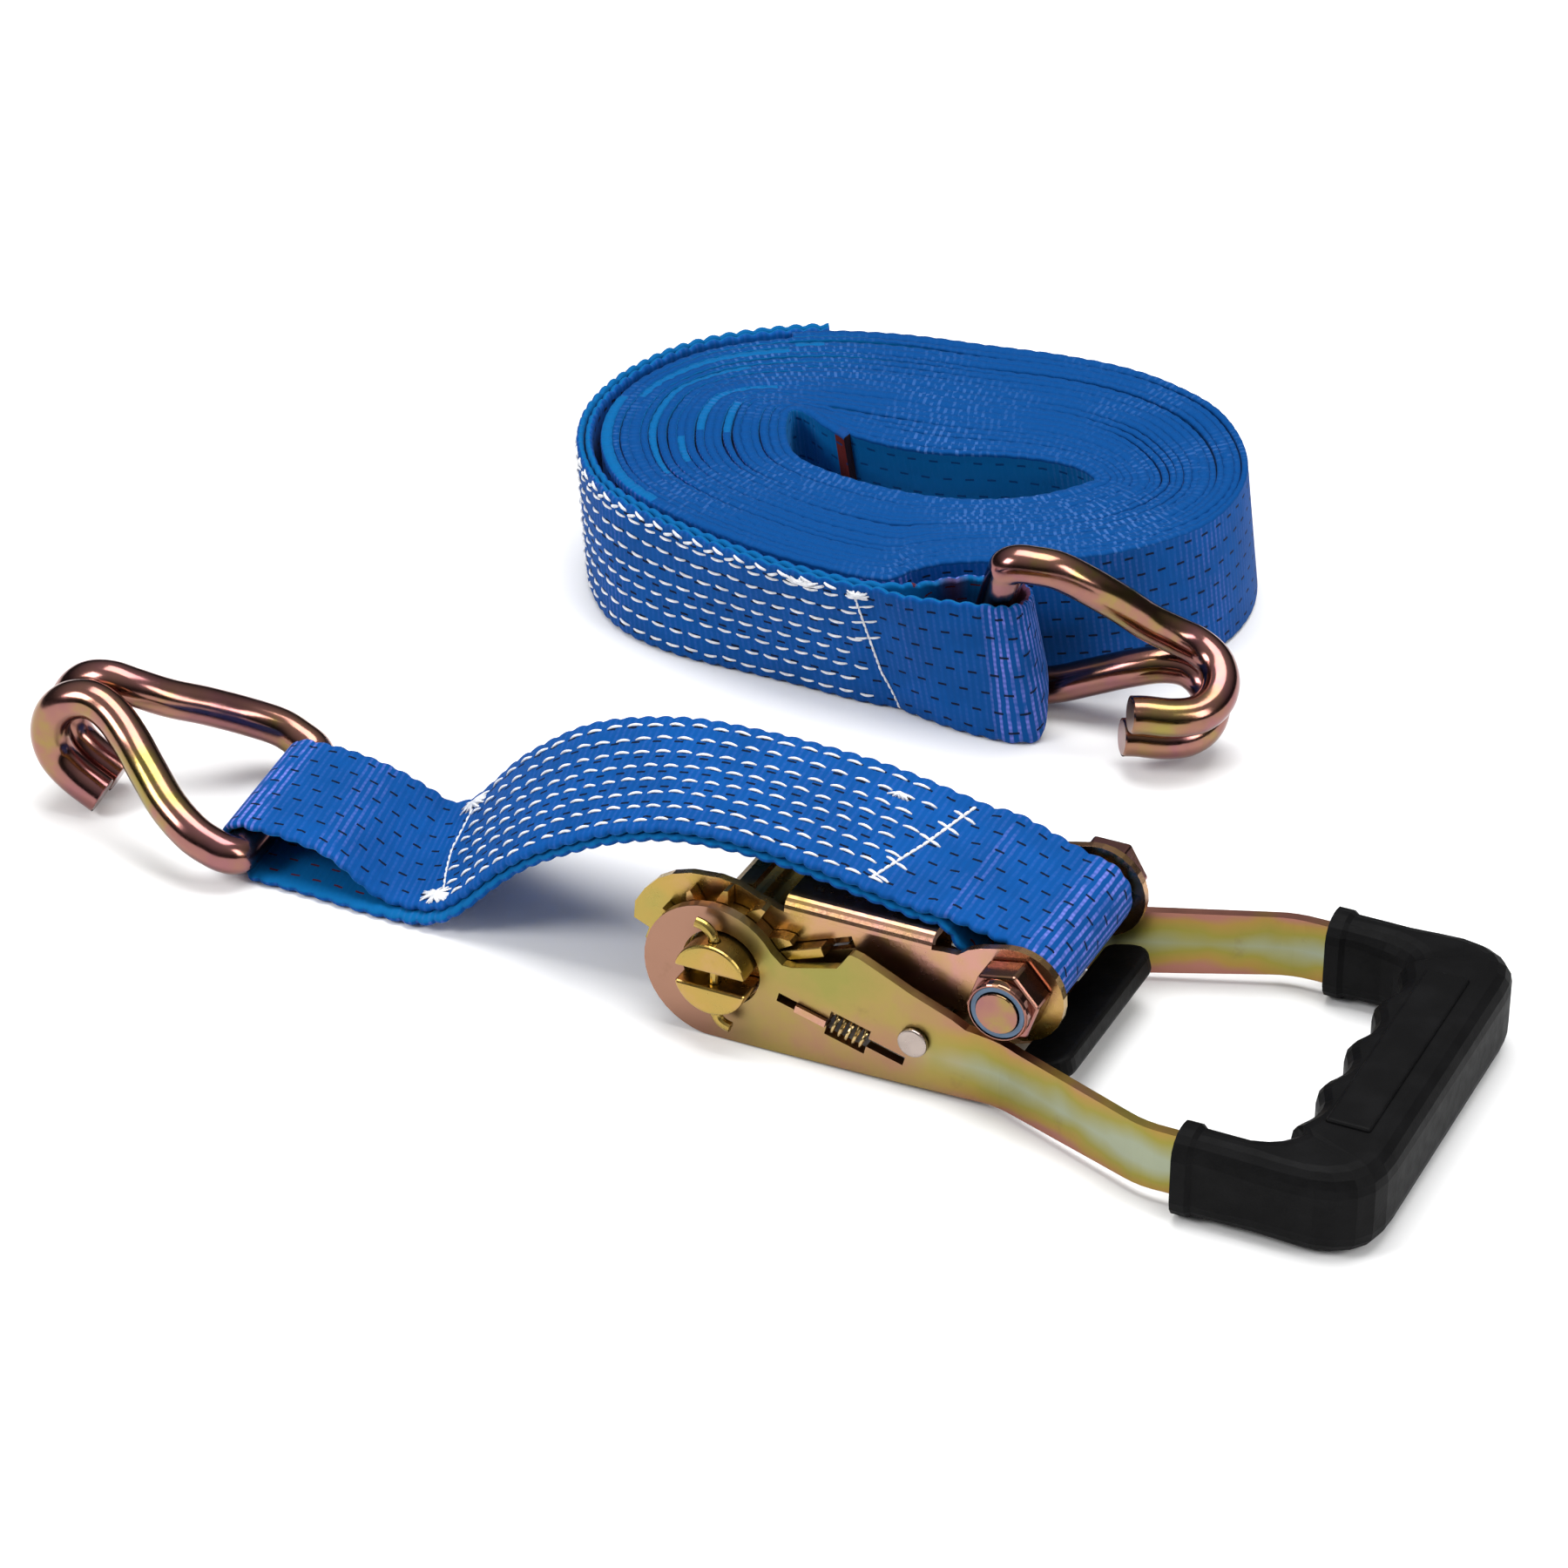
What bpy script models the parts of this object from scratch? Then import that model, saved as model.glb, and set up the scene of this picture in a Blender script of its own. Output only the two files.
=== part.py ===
"""Ratchet tie down: ratchet with its hooked short strap, and the long strap rolled up with its hook."""
import math
import bmesh
import bpy
from mathutils import Vector

MM = 0.001
GAP = 0.3                      # clearance between neighbouring pieces, mm

# where the whole object's floor centre lies in the ratchet's own frame (mandrel at X 0, mid-plane Y 0)
CENTRE_X, CENTRE_Y = -20.9, 122.9

# mandrel and ratchet wheels
MANDREL_Z = 22.8
MANDREL_R = 10.8
MANDREL_HALF_LENGTH = 44.5
SLOT_HALF = 2.4
WHEEL_TIP, WHEEL_ROOT, TEETH = 22.4, 16.4, 12
WHEEL_IN, WHEEL_OUT = 29.8, 33.8
COTTER_Y, COTTER_R = 40.8, 1.5

# frame
PLATE_IN, PLATE_OUT = 27.0, 29.5
BASE_TOP, BASE_THICK, BASE_X0, BASE_X1 = 44.4, 2.5, 15.1, 58.2
BOLT_X, BOLT_Z, BOLT_R = 82.4, 34.6, 6.0
SPACER_R = 8.5

# pawls: each slides along a line through the mandrel axis
LOCK_ANGLE = 21.0
PULL_ANGLE = -15.0
LOCK_THICK = 3.0
PULL_THICK = 2.2

# handle
ARM_IN, ARM_OUT = 34.1, 37.1
ARM_SPLAY = 19.1
ARM_END = 181.5
GRIP_END = 194.0

# webbing and hooks
WEB = 2.4
WEB_HALF = 24.5
HOOK_R = 5.75
HOOK_HALF = 31.0
HOOK_A = (-161.5, 3.0, 8.75)
HOOK_A_YAW = 7.0
TIP_A, TIP_B = (53.0, -3.4), (51.6, -5.0)     # where each hook's wire ends, in its own plane
HOOK_B = (-1.0, 145.0, 37.2)
HOOK_B_YAW, HOOK_B_DROOP, HOOK_B_TILT = -3.9, 21.5, -18.7
ROLL_HEIGHT = 48.0
LEAN_X, LEAN_Y = -2.0, -14.0    # how far the roll's top edge stands off its foot


def world(x, y, z):
    return Vector(((x - CENTRE_X) * MM, (y - CENTRE_Y) * MM, z * MM))


def clear():
    for obj in list(bpy.data.objects):
        bpy.data.objects.remove(obj, do_unlink=True)


def material(name, colour, metallic, roughness):
    found = bpy.data.materials.get(name)
    if found:
        return found
    mat = bpy.data.materials.new(name)
    mat.use_nodes = True
    shader = mat.node_tree.nodes["Principled BSDF"]
    shader.inputs["Base Color"].default_value = (*colour, 1)
    shader.inputs["Metallic"].default_value = metallic
    shader.inputs["Roughness"].default_value = roughness
    return mat


def from_faces(points, faces):
    """Temporary object from world points in metres."""
    mesh = bpy.data.meshes.new("tmp")
    mesh.from_pydata([tuple(p) for p in points], [], faces)
    bm = bmesh.new()
    bm.from_mesh(mesh)
    bmesh.ops.recalc_face_normals(bm, faces=bm.faces)
    bm.to_mesh(mesh)
    bm.free()
    obj = bpy.data.objects.new("tmp", mesh)
    bpy.context.scene.collection.objects.link(obj)
    return obj


def prism(outline, low, high, place):
    """Closed prism: outline of 2-D points, place(a, b, h) turns a point and a height to the world."""
    n = len(outline)
    points = [place(a, b, low) for a, b in outline] + [place(a, b, high) for a, b in outline]
    faces = [list(range(n))[::-1], [n + i for i in range(n)]]
    faces += [[i, (i + 1) % n, n + (i + 1) % n, n + i] for i in range(n)]
    return from_faces(points, faces)


def along_y(a, b, h):
    return world(a, h, b)


def along_x(a, b, h):
    return world(h, a, b)


def along_z(a, b, h):
    return world(a, b, h)


def circle(cx, cy, r, n=32, start=0.0):
    return [(cx + r * math.cos(start + 2 * math.pi * i / n), cy + r * math.sin(start + 2 * math.pi * i / n))
            for i in range(n)]


def arc(cx, cy, r, a0, a1, n):
    return [(cx + r * math.cos(math.radians(a0 + (a1 - a0) * i / n)),
             cy + r * math.sin(math.radians(a0 + (a1 - a0) * i / n))) for i in range(n + 1)]


def radial(angle):
    """Placement for prisms drawn in (s along a line from the mandrel axis, t across it)."""
    ca, sa = math.cos(math.radians(angle)), math.sin(math.radians(angle))

    def at(s, t):
        return s * ca - t * sa, MANDREL_Z + s * sa + t * ca
    return at


def combine(obj, other, how):
    """Apply a Boolean and drop the other object."""
    mod = obj.modifiers.new("join", "BOOLEAN")
    mod.operation = how
    mod.solver = "EXACT"
    mod.object = other
    graph = bpy.context.evaluated_depsgraph_get()
    mesh = bpy.data.meshes.new_from_object(obj.evaluated_get(graph))
    obj.modifiers.clear()
    obj.data = mesh
    bpy.data.objects.remove(other, do_unlink=True)
    return obj


def cut(obj, *others):
    for other in others:
        combine(obj, other, "DIFFERENCE")
    return obj


def join(obj, *others):
    for other in others:
        combine(obj, other, "UNION")
    return obj


def collect(parts):
    """Several disjoint closed bodies in one mesh."""
    points, faces = [], []
    for obj in parts:
        base = len(points)
        points += [v.co.copy() for v in obj.data.vertices]
        faces += [[base + i for i in p.vertices] for p in obj.data.polygons]
        bpy.data.objects.remove(obj, do_unlink=True)
    return from_faces(points, faces)


def bevel(obj, width, segments=2, angle=40):
    mod = obj.modifiers.new("edge", "BEVEL")
    mod.width = width * MM
    mod.segments = segments
    mod.limit_method = "ANGLE"
    mod.angle_limit = math.radians(angle)
    mod.use_clamp_overlap = True
    graph = bpy.context.evaluated_depsgraph_get()
    mesh = bpy.data.meshes.new_from_object(obj.evaluated_get(graph))
    obj.modifiers.clear()
    obj.data = mesh
    return obj


def node(obj, name, mat, origin=(0, 0, 0), smooth=35):
    """Name the piece, set its origin and shading."""
    at = world(*origin)
    for v in obj.data.vertices:
        v.co -= at
    obj.location = at
    obj.name = name
    obj.data.name = name
    obj.data.materials.clear()
    obj.data.materials.append(mat)
    for p in obj.data.polygons:
        p.use_smooth = True
        p.material_index = 0
    obj.data.set_sharp_from_angle(angle=math.radians(smooth))
    return obj


def tube(path, r, n=12, ring=False):
    """Round bar along a list of points in mm (own frame), end caps flat; ring closes it."""
    pts = [world(*p) for p in path]
    count = len(pts)
    tangents = []
    for i in range(count):
        a = pts[i - 1] if (i or ring) else pts[0]
        b = pts[(i + 1) % count] if (i < count - 1 or ring) else pts[i]
        tangents.append((b - a).normalized())
    up = Vector((0, 0, 1)) if abs(tangents[0].z) < 0.9 else Vector((1, 0, 0))
    side = tangents[0].cross(up).normalized()
    rings = []
    for i in range(count):
        side = (side - tangents[i] * side.dot(tangents[i])).normalized()
        other = tangents[i].cross(side)
        rings.append([pts[i] + (side * math.cos(2 * math.pi * k / n) + other * math.sin(2 * math.pi * k / n))
                      * r * MM for k in range(n)])
    points = [p for loop in rings for p in loop]
    faces = []
    for i in range(count if ring else count - 1):
        j = (i + 1) % count
        faces += [[i * n + k, i * n + (k + 1) % n, j * n + (k + 1) % n, j * n + k] for k in range(n)]
    if not ring:
        faces += [list(range(n))[::-1], [(count - 1) * n + k for k in range(n)]]
    return from_faces(points, faces)


def spline(points, per=6, closed=False):
    """Catmull-Rom curve through points of any dimension."""
    out = []
    n = len(points)
    spans = n if closed else n - 1
    for i in range(spans):
        p0 = points[(i - 1) % n] if (closed or i > 0) else points[0]
        p1 = points[i]
        p2 = points[(i + 1) % n]
        p3 = points[(i + 2) % n] if (closed or i + 2 < n) else points[-1]
        for k in range(per):
            t = k / per
            out.append(tuple(0.5 * (2 * b + (c - a) * t + (2 * a - 5 * b + 4 * c - d) * t * t
                                    + (3 * b - a - 3 * c + d) * t ** 3)
                             for a, b, c, d in zip(p0, p1, p2, p3)))
    if not closed:
        out.append(tuple(points[-1]))
    return out


def resample(points, count):
    """Points at even distances along an open polyline."""
    lengths = [0.0]
    for a, b in zip(points, points[1:]):
        lengths.append(lengths[-1] + math.dist(a, b))
    out, j = [], 0
    for i in range(count):
        s = lengths[-1] * i / (count - 1)
        while j < len(lengths) - 2 and lengths[j + 1] < s:
            j += 1
        f = (s - lengths[j]) / max(lengths[j + 1] - lengths[j], 1e-9)
        out.append(tuple(a + (b - a) * f for a, b in zip(points[j], points[j + 1])))
    return out


def offset(path, d, closed=False):
    """Offset a 2-D polyline to its left by d."""
    out = []
    n = len(path)
    for i in range(n):
        a = path[i - 1] if (i or closed) else path[0]
        b = path[(i + 1) % n] if (i < n - 1 or closed) else path[i]
        dx, dy = b[0] - a[0], b[1] - a[1]
        size = math.hypot(dx, dy) or 1
        out.append((path[i][0] - dy / size * d, path[i][1] + dx / size * d))
    return out


# ---------------------------------------------------------------- materials
ZINC = material("plated_steel", (0.62, 0.47, 0.30), 1.0, 0.28)
WIRE = material("plated_wire", (0.60, 0.42, 0.30), 1.0, 0.2)
BLUE = material("blue_webbing", (0.01, 0.12, 0.50), 0.0, 0.75)
RUBBER = material("black_rubber", (0.012, 0.012, 0.012), 0.0, 0.65)
NYLON = material("blue_nylon", (0.04, 0.12, 0.30), 0.0, 0.5)
SPRING = material("spring_steel", (0.55, 0.52, 0.48), 1.0, 0.3)


# ---------------------------------------------------------------- frame body
def frame_outline():
    cam = radial(PULL_ANGLE)
    top = [(-30, 26.2), (-29.6, 31.5), (-26.7, 36.2), (-22.8, 40.4), (-18.2, 43.2), (-12.7, 45.0),
           (-4.1, 45.8), (2, 45.0), (7.5, 42.6), (10.5, 42.0), (13.0, 40.8),
           (BASE_X0, 40.4), (BASE_X1, 40.4), (62, 40.8), (65.7, 40.9), (68.6, 43.2), (72, 44.7)]
    boss = arc(BOLT_X, BOLT_Z - 1.6, 13.9, 100, -80, 14)
    under = [(80, 20.4), (72, 23.2), (64, 23.8), (50, 22.4), (38, 20.4), (30, 19.4)]
    shoulder = [cam(22.7, 2.2), cam(22.7, -2.4), cam(20.0, -5.0)]
    round_mandrel = arc(0, MANDREL_Z, 16.5, -42, -165, 12)
    left = [(-20.5, 18.4), (-26.6, 20.6), (-25.4, 24.2)]
    return top + boss + under + shoulder + round_mandrel + left


def frame_channel():
    outline = frame_outline()
    near = prism(outline, -PLATE_OUT, -PLATE_IN, along_y)
    far = prism(outline, PLATE_IN, PLATE_OUT, along_y)
    e = 0.02
    r = 4.0
    zc = BASE_TOP - r
    outer = ([(-PLATE_OUT + e, 34)] + arc(-PLATE_OUT + e + r, zc, r, 180, 90, 6)
             + arc(PLATE_OUT - e - r, zc, r, 90, 0, 6) + [(PLATE_OUT - e, 34)])
    ri = r - BASE_THICK
    inner = ([(PLATE_IN + e, 34)] + arc(PLATE_IN + e - ri, zc, ri, 0, 90, 4)
             + arc(-PLATE_IN - e + ri, zc, ri, 90, 180, 4) + [(-PLATE_IN - e, 34)])
    bridge = prism(outer + inner, BASE_X0, BASE_X1, along_x)
    channel = join(near, bridge, far)
    lock = radial(LOCK_ANGLE)
    w = LOCK_THICK / 2 + GAP
    slot = [lock(16.8, -w), lock(38.2, -w), lock(38.2, w), lock(16.8, w)]
    cut(channel, prism(circle(0, MANDREL_Z, MANDREL_R + 0.5, 40), -40, 40, along_y),
        prism(circle(BOLT_X, BOLT_Z, BOLT_R + GAP, 28), -40, 40, along_y),
        prism(slot, -40, 40, along_y))
    return node(bevel(channel, 0.35, 1), "frame_channel", ZINC)


def frame_parts():
    made = [frame_channel()]
    # narrow guide strip between the side plates beside the mandrel
    strip = prism([(-1.5, 42.2), (4.5, 42.2), (4.5, 44.4), (0.3, 44.4), (-1.5, 43.4)],
                  -PLATE_IN + GAP, PLATE_IN - GAP, along_y)
    made.append(node(strip, "guide_strip", ZINC))
    # bolt with hexagon head on the far side
    shaft = prism(circle(BOLT_X, BOLT_Z, BOLT_R, 28), -42.0, PLATE_OUT + 1.5, along_y)
    head = bevel(prism(circle(BOLT_X, BOLT_Z, 10.6, 6), PLATE_OUT + GAP, PLATE_OUT + 7.8, along_y), 0.6)
    tip = bevel(join(shaft, head), 0.3)
    made.append(node(tip, "frame_bolt", ZINC))
    # locking nut on the near side: hexagon, round collar, nylon ring in the collar
    hexagon = prism(circle(BOLT_X, BOLT_Z, 10.6, 6, 0.2), -38.3, -PLATE_OUT - GAP, along_y)
    collar = bevel(prism(circle(BOLT_X, BOLT_Z, 8.6, 32), -41.6, -38.0, along_y), 0.8, 3)
    nut = join(bevel(hexagon, 0.7), collar)
    cut(nut, prism(circle(BOLT_X, BOLT_Z, BOLT_R + GAP, 28), -45, -20, along_y),
        prism(circle(BOLT_X, BOLT_Z, 7.9, 32), -45, -38.8, along_y))
    made.append(node(nut, "lock_nut", ZINC))
    ring = prism(circle(BOLT_X, BOLT_Z, 7.6, 32), -41.2, -39.1, along_y)
    cut(ring, prism(circle(BOLT_X, BOLT_Z, BOLT_R + GAP, 28), -45, -20, along_y))
    made.append(node(ring, "nut_nylon_ring", NYLON))
    spacer = prism(circle(BOLT_X, BOLT_Z, SPACER_R, 32), -PLATE_IN + GAP, PLATE_IN - GAP, along_y)
    cut(spacer, prism(circle(BOLT_X, BOLT_Z, BOLT_R + GAP, 28), -40, 40, along_y))
    made.append(node(spacer, "bolt_spacer", ZINC))
    lock = radial(LOCK_ANGLE)
    seat = prism([lock(46.6, -5), lock(48.4, -5), lock(48.4, 1.6), lock(46.6, 1.6)], -9, 9, along_y)
    made.append(node(seat, "spring_seat", ZINC))
    return made


# ---------------------------------------------------------------- mandrel body
def mandrel_half(sign, name):
    start = math.degrees(math.asin(SLOT_HALF / MANDREL_R))
    rim = arc(0, MANDREL_Z, MANDREL_R, start, 180 - start, 20)
    if sign < 0:
        rim = [(x, 2 * MANDREL_Z - z) for x, z in rim][::-1]
    bar = bevel(prism(rim, -MANDREL_HALF_LENGTH, MANDREL_HALF_LENGTH, along_y), 0.7)
    for y in (-COTTER_Y, COTTER_Y):
        cut(bar, tube([(0, y, MANDREL_Z - 20), (0, y, MANDREL_Z + 20)], COTTER_R + GAP, 16))
    return node(bar, name, ZINC, (0, 0, MANDREL_Z))


def wheel(sign, name):
    """Twelve saw teeth: steep face, sloping back, short flat root."""
    outline = []
    pitch = 360.0 / TEETH
    first = LOCK_ANGLE + 7.0
    for k in range(TEETH):
        a = first + k * pitch
        for r, d in ((WHEEL_ROOT, 0.0), (WHEEL_TIP, 0.6), (WHEEL_TIP - 0.2, 4.0), (19.6, 9.5),
                     (WHEEL_ROOT, 14.5), (WHEEL_ROOT, 22.0)):
            t = math.radians(a + d)
            outline.append((r * math.cos(t), MANDREL_Z + r * math.sin(t)))
    low, high = (WHEEL_IN, WHEEL_OUT) if sign > 0 else (-WHEEL_OUT, -WHEEL_IN)
    disc = prism(outline, low, high, along_y)
    edge = SLOT_HALF - GAP
    r = MANDREL_R + GAP
    start = math.degrees(math.asin(edge / r))
    hole = arc(0, MANDREL_Z, r, start, 180 - start, 20)
    lower = [(x, 2 * MANDREL_Z - z) for x, z in hole][::-1]
    cut(disc, prism(hole, -50, 50, along_y), prism(lower, -50, 50, along_y))
    return node(disc, name, ZINC, (0, 0, MANDREL_Z))


def cotter(y, name):
    z0, z1 = MANDREL_Z - 13.2, MANDREL_Z + 12.6
    path = [(-5.4, y, z1 + 2.7), (-3.2, y, z1 + 2.2), (-1.4, y, z1 + 0.9), (-0.3, y, z1 - 1.0),
            (0, y, z1 - 3.5), (0, y, z0 + 3.0), (0.3, y, z0 + 0.8), (1.2, y, z0 - 0.9), (2.8, y, z0 - 2.0),
            (4.6, y, z0 - 2.5)]
    return node(tube(spline(path, 4), COTTER_R, 12), name, ZINC, (0, 0, MANDREL_Z))


# ---------------------------------------------------------------- pawls
def spring_coil(line, s0, s1, y, radius, wire, turns):
    """Compression spring along a radial line, closed ends left out."""
    path = []
    steps = turns * 10
    for i in range(steps + 1):
        a = 2 * math.pi * turns * i / steps
        x, z = line(s0 + wire + (s1 - s0 - 2 * wire) * i / steps, radius * math.cos(a))
        path.append((x, y + radius * math.sin(a), z))
    return tube(path, wire, 6)


def pawls():
    lock = radial(LOCK_ANGLE)
    h = LOCK_THICK / 2

    def on_lock(a, b, t):
        x, z = lock(a, t)
        return world(x, b, z)
    ears = [(17.6, 33.8), (30.5, 33.8), (30.5, 26.4), (35.0, 26.4), (35.0, -26.4), (30.5, -26.4),
            (30.5, -33.8), (17.6, -33.8), (17.6, -29.9), (20.5, -26.4), (20.5, 26.4), (17.6, 29.9)]
    plate = bevel(prism(ears, -h, h, on_lock), 0.3)
    made = [node(plate, "lock_pawl", ZINC, (0, 0, MANDREL_Z))]
    made.append(node(spring_coil(lock, 35.3, 46.3, 0, 2.0, 0.4, 5), "lock_pawl_spring", SPRING))

    pull = radial(PULL_ANGLE)
    h = PULL_THICK / 2

    def on_pull(a, b, t):
        x, z = pull(a, t)
        return world(x, b, z)
    plan = [(23.3, 38.4), (32.6, 38.4), (32.6, 31.0), (42, 31.0), (46, 15), (64, 15)]
    plan += [(s, -y) for s, y in plan[::-1]]
    slider = prism(plan, -h, h, on_pull)
    made.append(slider)
    # the slider's tongue turns up behind the bolt and carries the coated finger tab
    x0, z0 = pull(61, 0)
    curve = spline([(x0, z0), (66.5, 5.6), (72, 6.4), (80, 9.2), (86, 11.2), (94, 13.2)], 4)
    band = offset(curve, h) + offset(curve, -h)[::-1]
    tongue = prism(band, -14.6, 14.6, along_y)
    slider = join(made.pop(), tongue)
    made.append(node(slider, "drive_pawl_slider", ZINC, (0, 0, MANDREL_Z)))
    made.append(pull_tab())
    for y, name in ((-35.6, "drive_spring_near"), (35.6, "drive_spring_far")):
        made.append(node(spring_coil(pull, 32.9, 44.6, y, 2.6, 0.5, 5), name, SPRING))
    return made


def pull_tab():
    """Coated finger tab: a flat bar across the handle, rounded corners, closed over the tongue."""
    x0, x1, y1, r = 84.0, 98.5, 32.5, 7.0
    outline = ([(x0, -y1 + 2), (x0 + 2, -y1)] + arc(x1 - r, -y1 + r, r, -90, 0, 6)
               + arc(x1 - r, y1 - r, r, 0, 90, 6) + [(x0 + 2, y1), (x0, y1 - 2)])

    def tilted(a, b, h):
        z = 10.5 + (a - x0) * 0.25
        return world(a - h * 0.24, b, z + h)
    body = bevel(prism(outline, -3.1, 3.1, tilted), 1.4, 3)
    pocket = prism([(x0 - 3, -15), (95.5, -15), (95.5, 15), (x0 - 3, 15)], -1.9, 1.9, tilted)
    return node(cut(body, pocket), "finger_tab_cover", RUBBER, (0, 0, MANDREL_Z))


# ---------------------------------------------------------------- handle
def arm_outline():
    ring = arc(-2.5, 20.5, 20.6, 32, 262, 26)
    top = [(38.5, 37.6), (37.6, 37.2), (36.0, 34.6), (34.2, 32.2), (27.5, 30.4), (21.0, 28.6), (18.2, 28.6)]
    under = [(4, 0.15), (12.2, 0.3), (42, 0.9), (71, 1.7)]
    stations = [76 + 3.0 * i for i in range(21)] + [150, ARM_END]
    low = [(x, 1.9 + 1.9 * min(1, (x - 76) / 60)) for x in stations]
    high = [(x, 22.9 - 0.7 * min(1, (x - 76) / 12)) for x in stations][::-1]
    back = [(71.7, 23.4), (67.6, 25.6), (56, 30.1), (46.7, 34.4), (41, 37.0)]
    return ring + under + low + high + back + top


def splay(x):
    """Sideways offset of the arm at x: straight, then flaring out, then straight again."""
    if x <= 76:
        return 0.0
    t = min(1.0, (x - 76) / 58.0)
    flat = 0.16
    if t < flat:
        f = t * t / (2 * flat)
    elif t > 1 - flat:
        f = 1 - flat - (1 - t) ** 2 / (2 * flat)
    else:
        f = t - flat / 2
    return ARM_SPLAY * f / (1 - flat)


def arm(sign, name):
    low, high = (ARM_IN, ARM_OUT) if sign > 0 else (-ARM_OUT, -ARM_IN)
    plate = prism(arm_outline(), low, high, along_y)
    pull = radial(PULL_ANGLE)
    cut(plate, prism(circle(0, MANDREL_Z, MANDREL_R + 0.8, 40), -60, 60, along_y),
        prism([pull(17.5, -1.4), pull(56, -1.4), pull(56, 1.4), pull(17.5, 1.4)], -60, 60, along_y),
        prism([pull(32.8, -4), pull(44.9, -4), pull(44.9, 4), pull(32.8, 4)], -60, 60, along_y),
        prism(circle(57.1, 15.9, 3.3, 24), -60, 60, along_y))
    bm = bmesh.new()
    bm.from_mesh(plate.data)
    for x in [76 + 3.0 * i for i in range(21)] + [150]:
        bmesh.ops.bisect_plane(bm, geom=bm.verts[:] + bm.edges[:] + bm.faces[:],
                               plane_co=world(x, 0, 0), plane_no=(1, 0, 0))
    for v in bm.verts:
        x = v.co.x / MM + CENTRE_X
        v.co.y += sign * splay(x) * MM
    bmesh.ops.triangulate(bm, faces=[f for f in bm.faces if len(f.verts) > 4])
    bmesh.ops.recalc_face_normals(bm, faces=bm.faces)
    bm.to_mesh(plate.data)
    bm.free()
    return node(plate, name, ZINC, (0, 0, MANDREL_Z))


def cross_rod():
    rod = prism(circle(57.1, 15.9, 3.0, 24), -38.0, 38.0, along_y)
    near = bevel(prism(circle(57.1, 15.9, 4.3, 24), -39.0, -ARM_OUT - GAP, along_y), 0.5)
    far = bevel(prism(circle(57.1, 15.9, 4.3, 24), ARM_OUT + GAP, 39.0, along_y), 0.5)
    return node(join(rod, near, far), "handle_cross_rod", ZINC, (0, 0, MANDREL_Z))


def grip():
    """Rubber D grip lofted from one sleeve round the bar to the other sleeve."""
    def drawn(x):
        return GRIP_END - (197.0 - x) * 0.892

    def groove(y):
        return -3.2 * (0.5 + 0.5 * math.cos(2 * math.pi * y / 21.0)) ** 1.5 if abs(y) < 42 else 0.0
    half = [((137.0, 63.4), (137.0, 48.6), 13.0), ((141.5, 63.4), (141.5, 48.6), 13.0),
            ((143.0, 62.3), (143.0, 49.7), 12.2), ((152.0, 62.3), (149.0, 49.7), 12.2),
            ((162.0, 62.4), (155.0, 49.4), 12.2), ((172.0, 62.5), (159.5, 48.4), 12.3),
            ((180.0, 62.3), (163.0, 46.8), 12.5), ((186.5, 60.8), (165.4, 44.6), 12.6),
            ((191.5, 57.8), (166.8, 42.3), 12.8), ((195.0, 53.4), (167.2, 40.4), 13.0),
            ((196.6, 48.0), (167.2, 38.6), 13.0), ((197.0, 42.0), (167.2, 36.6), 13.0)]
    bar = [((197.0, 36.0 - 2.4 * i), (167.2, 34.8 - 2.32 * i), 13.0) for i in range(31)]
    stations = half + bar + [((a[0], -a[1]), (b[0], -b[1]), h) for a, b, h in half[::-1]]
    stations = [((drawn(a[0]), a[1]), (drawn(b[0]), b[1]), h) for a, b, h in stations]
    corner = 4
    points, n = [], 4 * (corner + 1)
    for out, inn, h in stations:
        inn = (inn[0] + groove(inn[1]), inn[1])
        width = math.dist(out, inn)
        ux, uy = (out[0] - inn[0]) / width, (out[1] - inn[1]) / width
        r = min(6.5, width / 2 - 0.8)
        for cx, cz, a0 in ((width - r, h - r, 0), (r, h - r, 90), (r, r - h, 180), (width - r, r - h, 270)):
            for k in range(corner + 1):
                a = math.radians(a0 + 90.0 * k / corner)
                w = cx + r * math.cos(a)
                points.append(world(inn[0] + ux * w, inn[1] + uy * w, 13.0 + cz + r * math.sin(a)))
    count = len(stations)
    faces = [[i * n + k, i * n + (k + 1) % n, (i + 1) * n + (k + 1) % n, (i + 1) * n + k]
             for i in range(count - 1) for k in range(n)]
    faces += [list(range(n))[::-1], [(count - 1) * n + k for k in range(n)]]
    body = from_faces(points, faces)
    panel = bevel(prism([(172.6, -39), (185, -39), (185, 39), (172.6, 39)], 23.0, 27.0, along_z), 1.0, 3)
    join(body, panel)
    for sign in (-1, 1):
        y0, y1 = sorted((sign * (ARM_IN + ARM_SPLAY - GAP), sign * (ARM_OUT + ARM_SPLAY + GAP)))
        cut(body, prism([(130, y0), (ARM_END + GAP, y0), (ARM_END + GAP, y1), (130, y1)], 3.5, 22.5, along_z))
    inner = ARM_IN + ARM_SPLAY - GAP / 2
    cut(body, prism(circle(177.5, 13, 5.3, 24), -inner, inner, along_y))
    return node(body, "rubber_grip", RUBBER, (0, 0, MANDREL_Z), 50)


def grip_core():
    inner = ARM_IN + ARM_SPLAY - GAP
    return node(prism(circle(177.5, 13, 5.0, 24), -inner, inner, along_y), "grip_core_rod", ZINC,
                (0, 0, MANDREL_Z))


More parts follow.
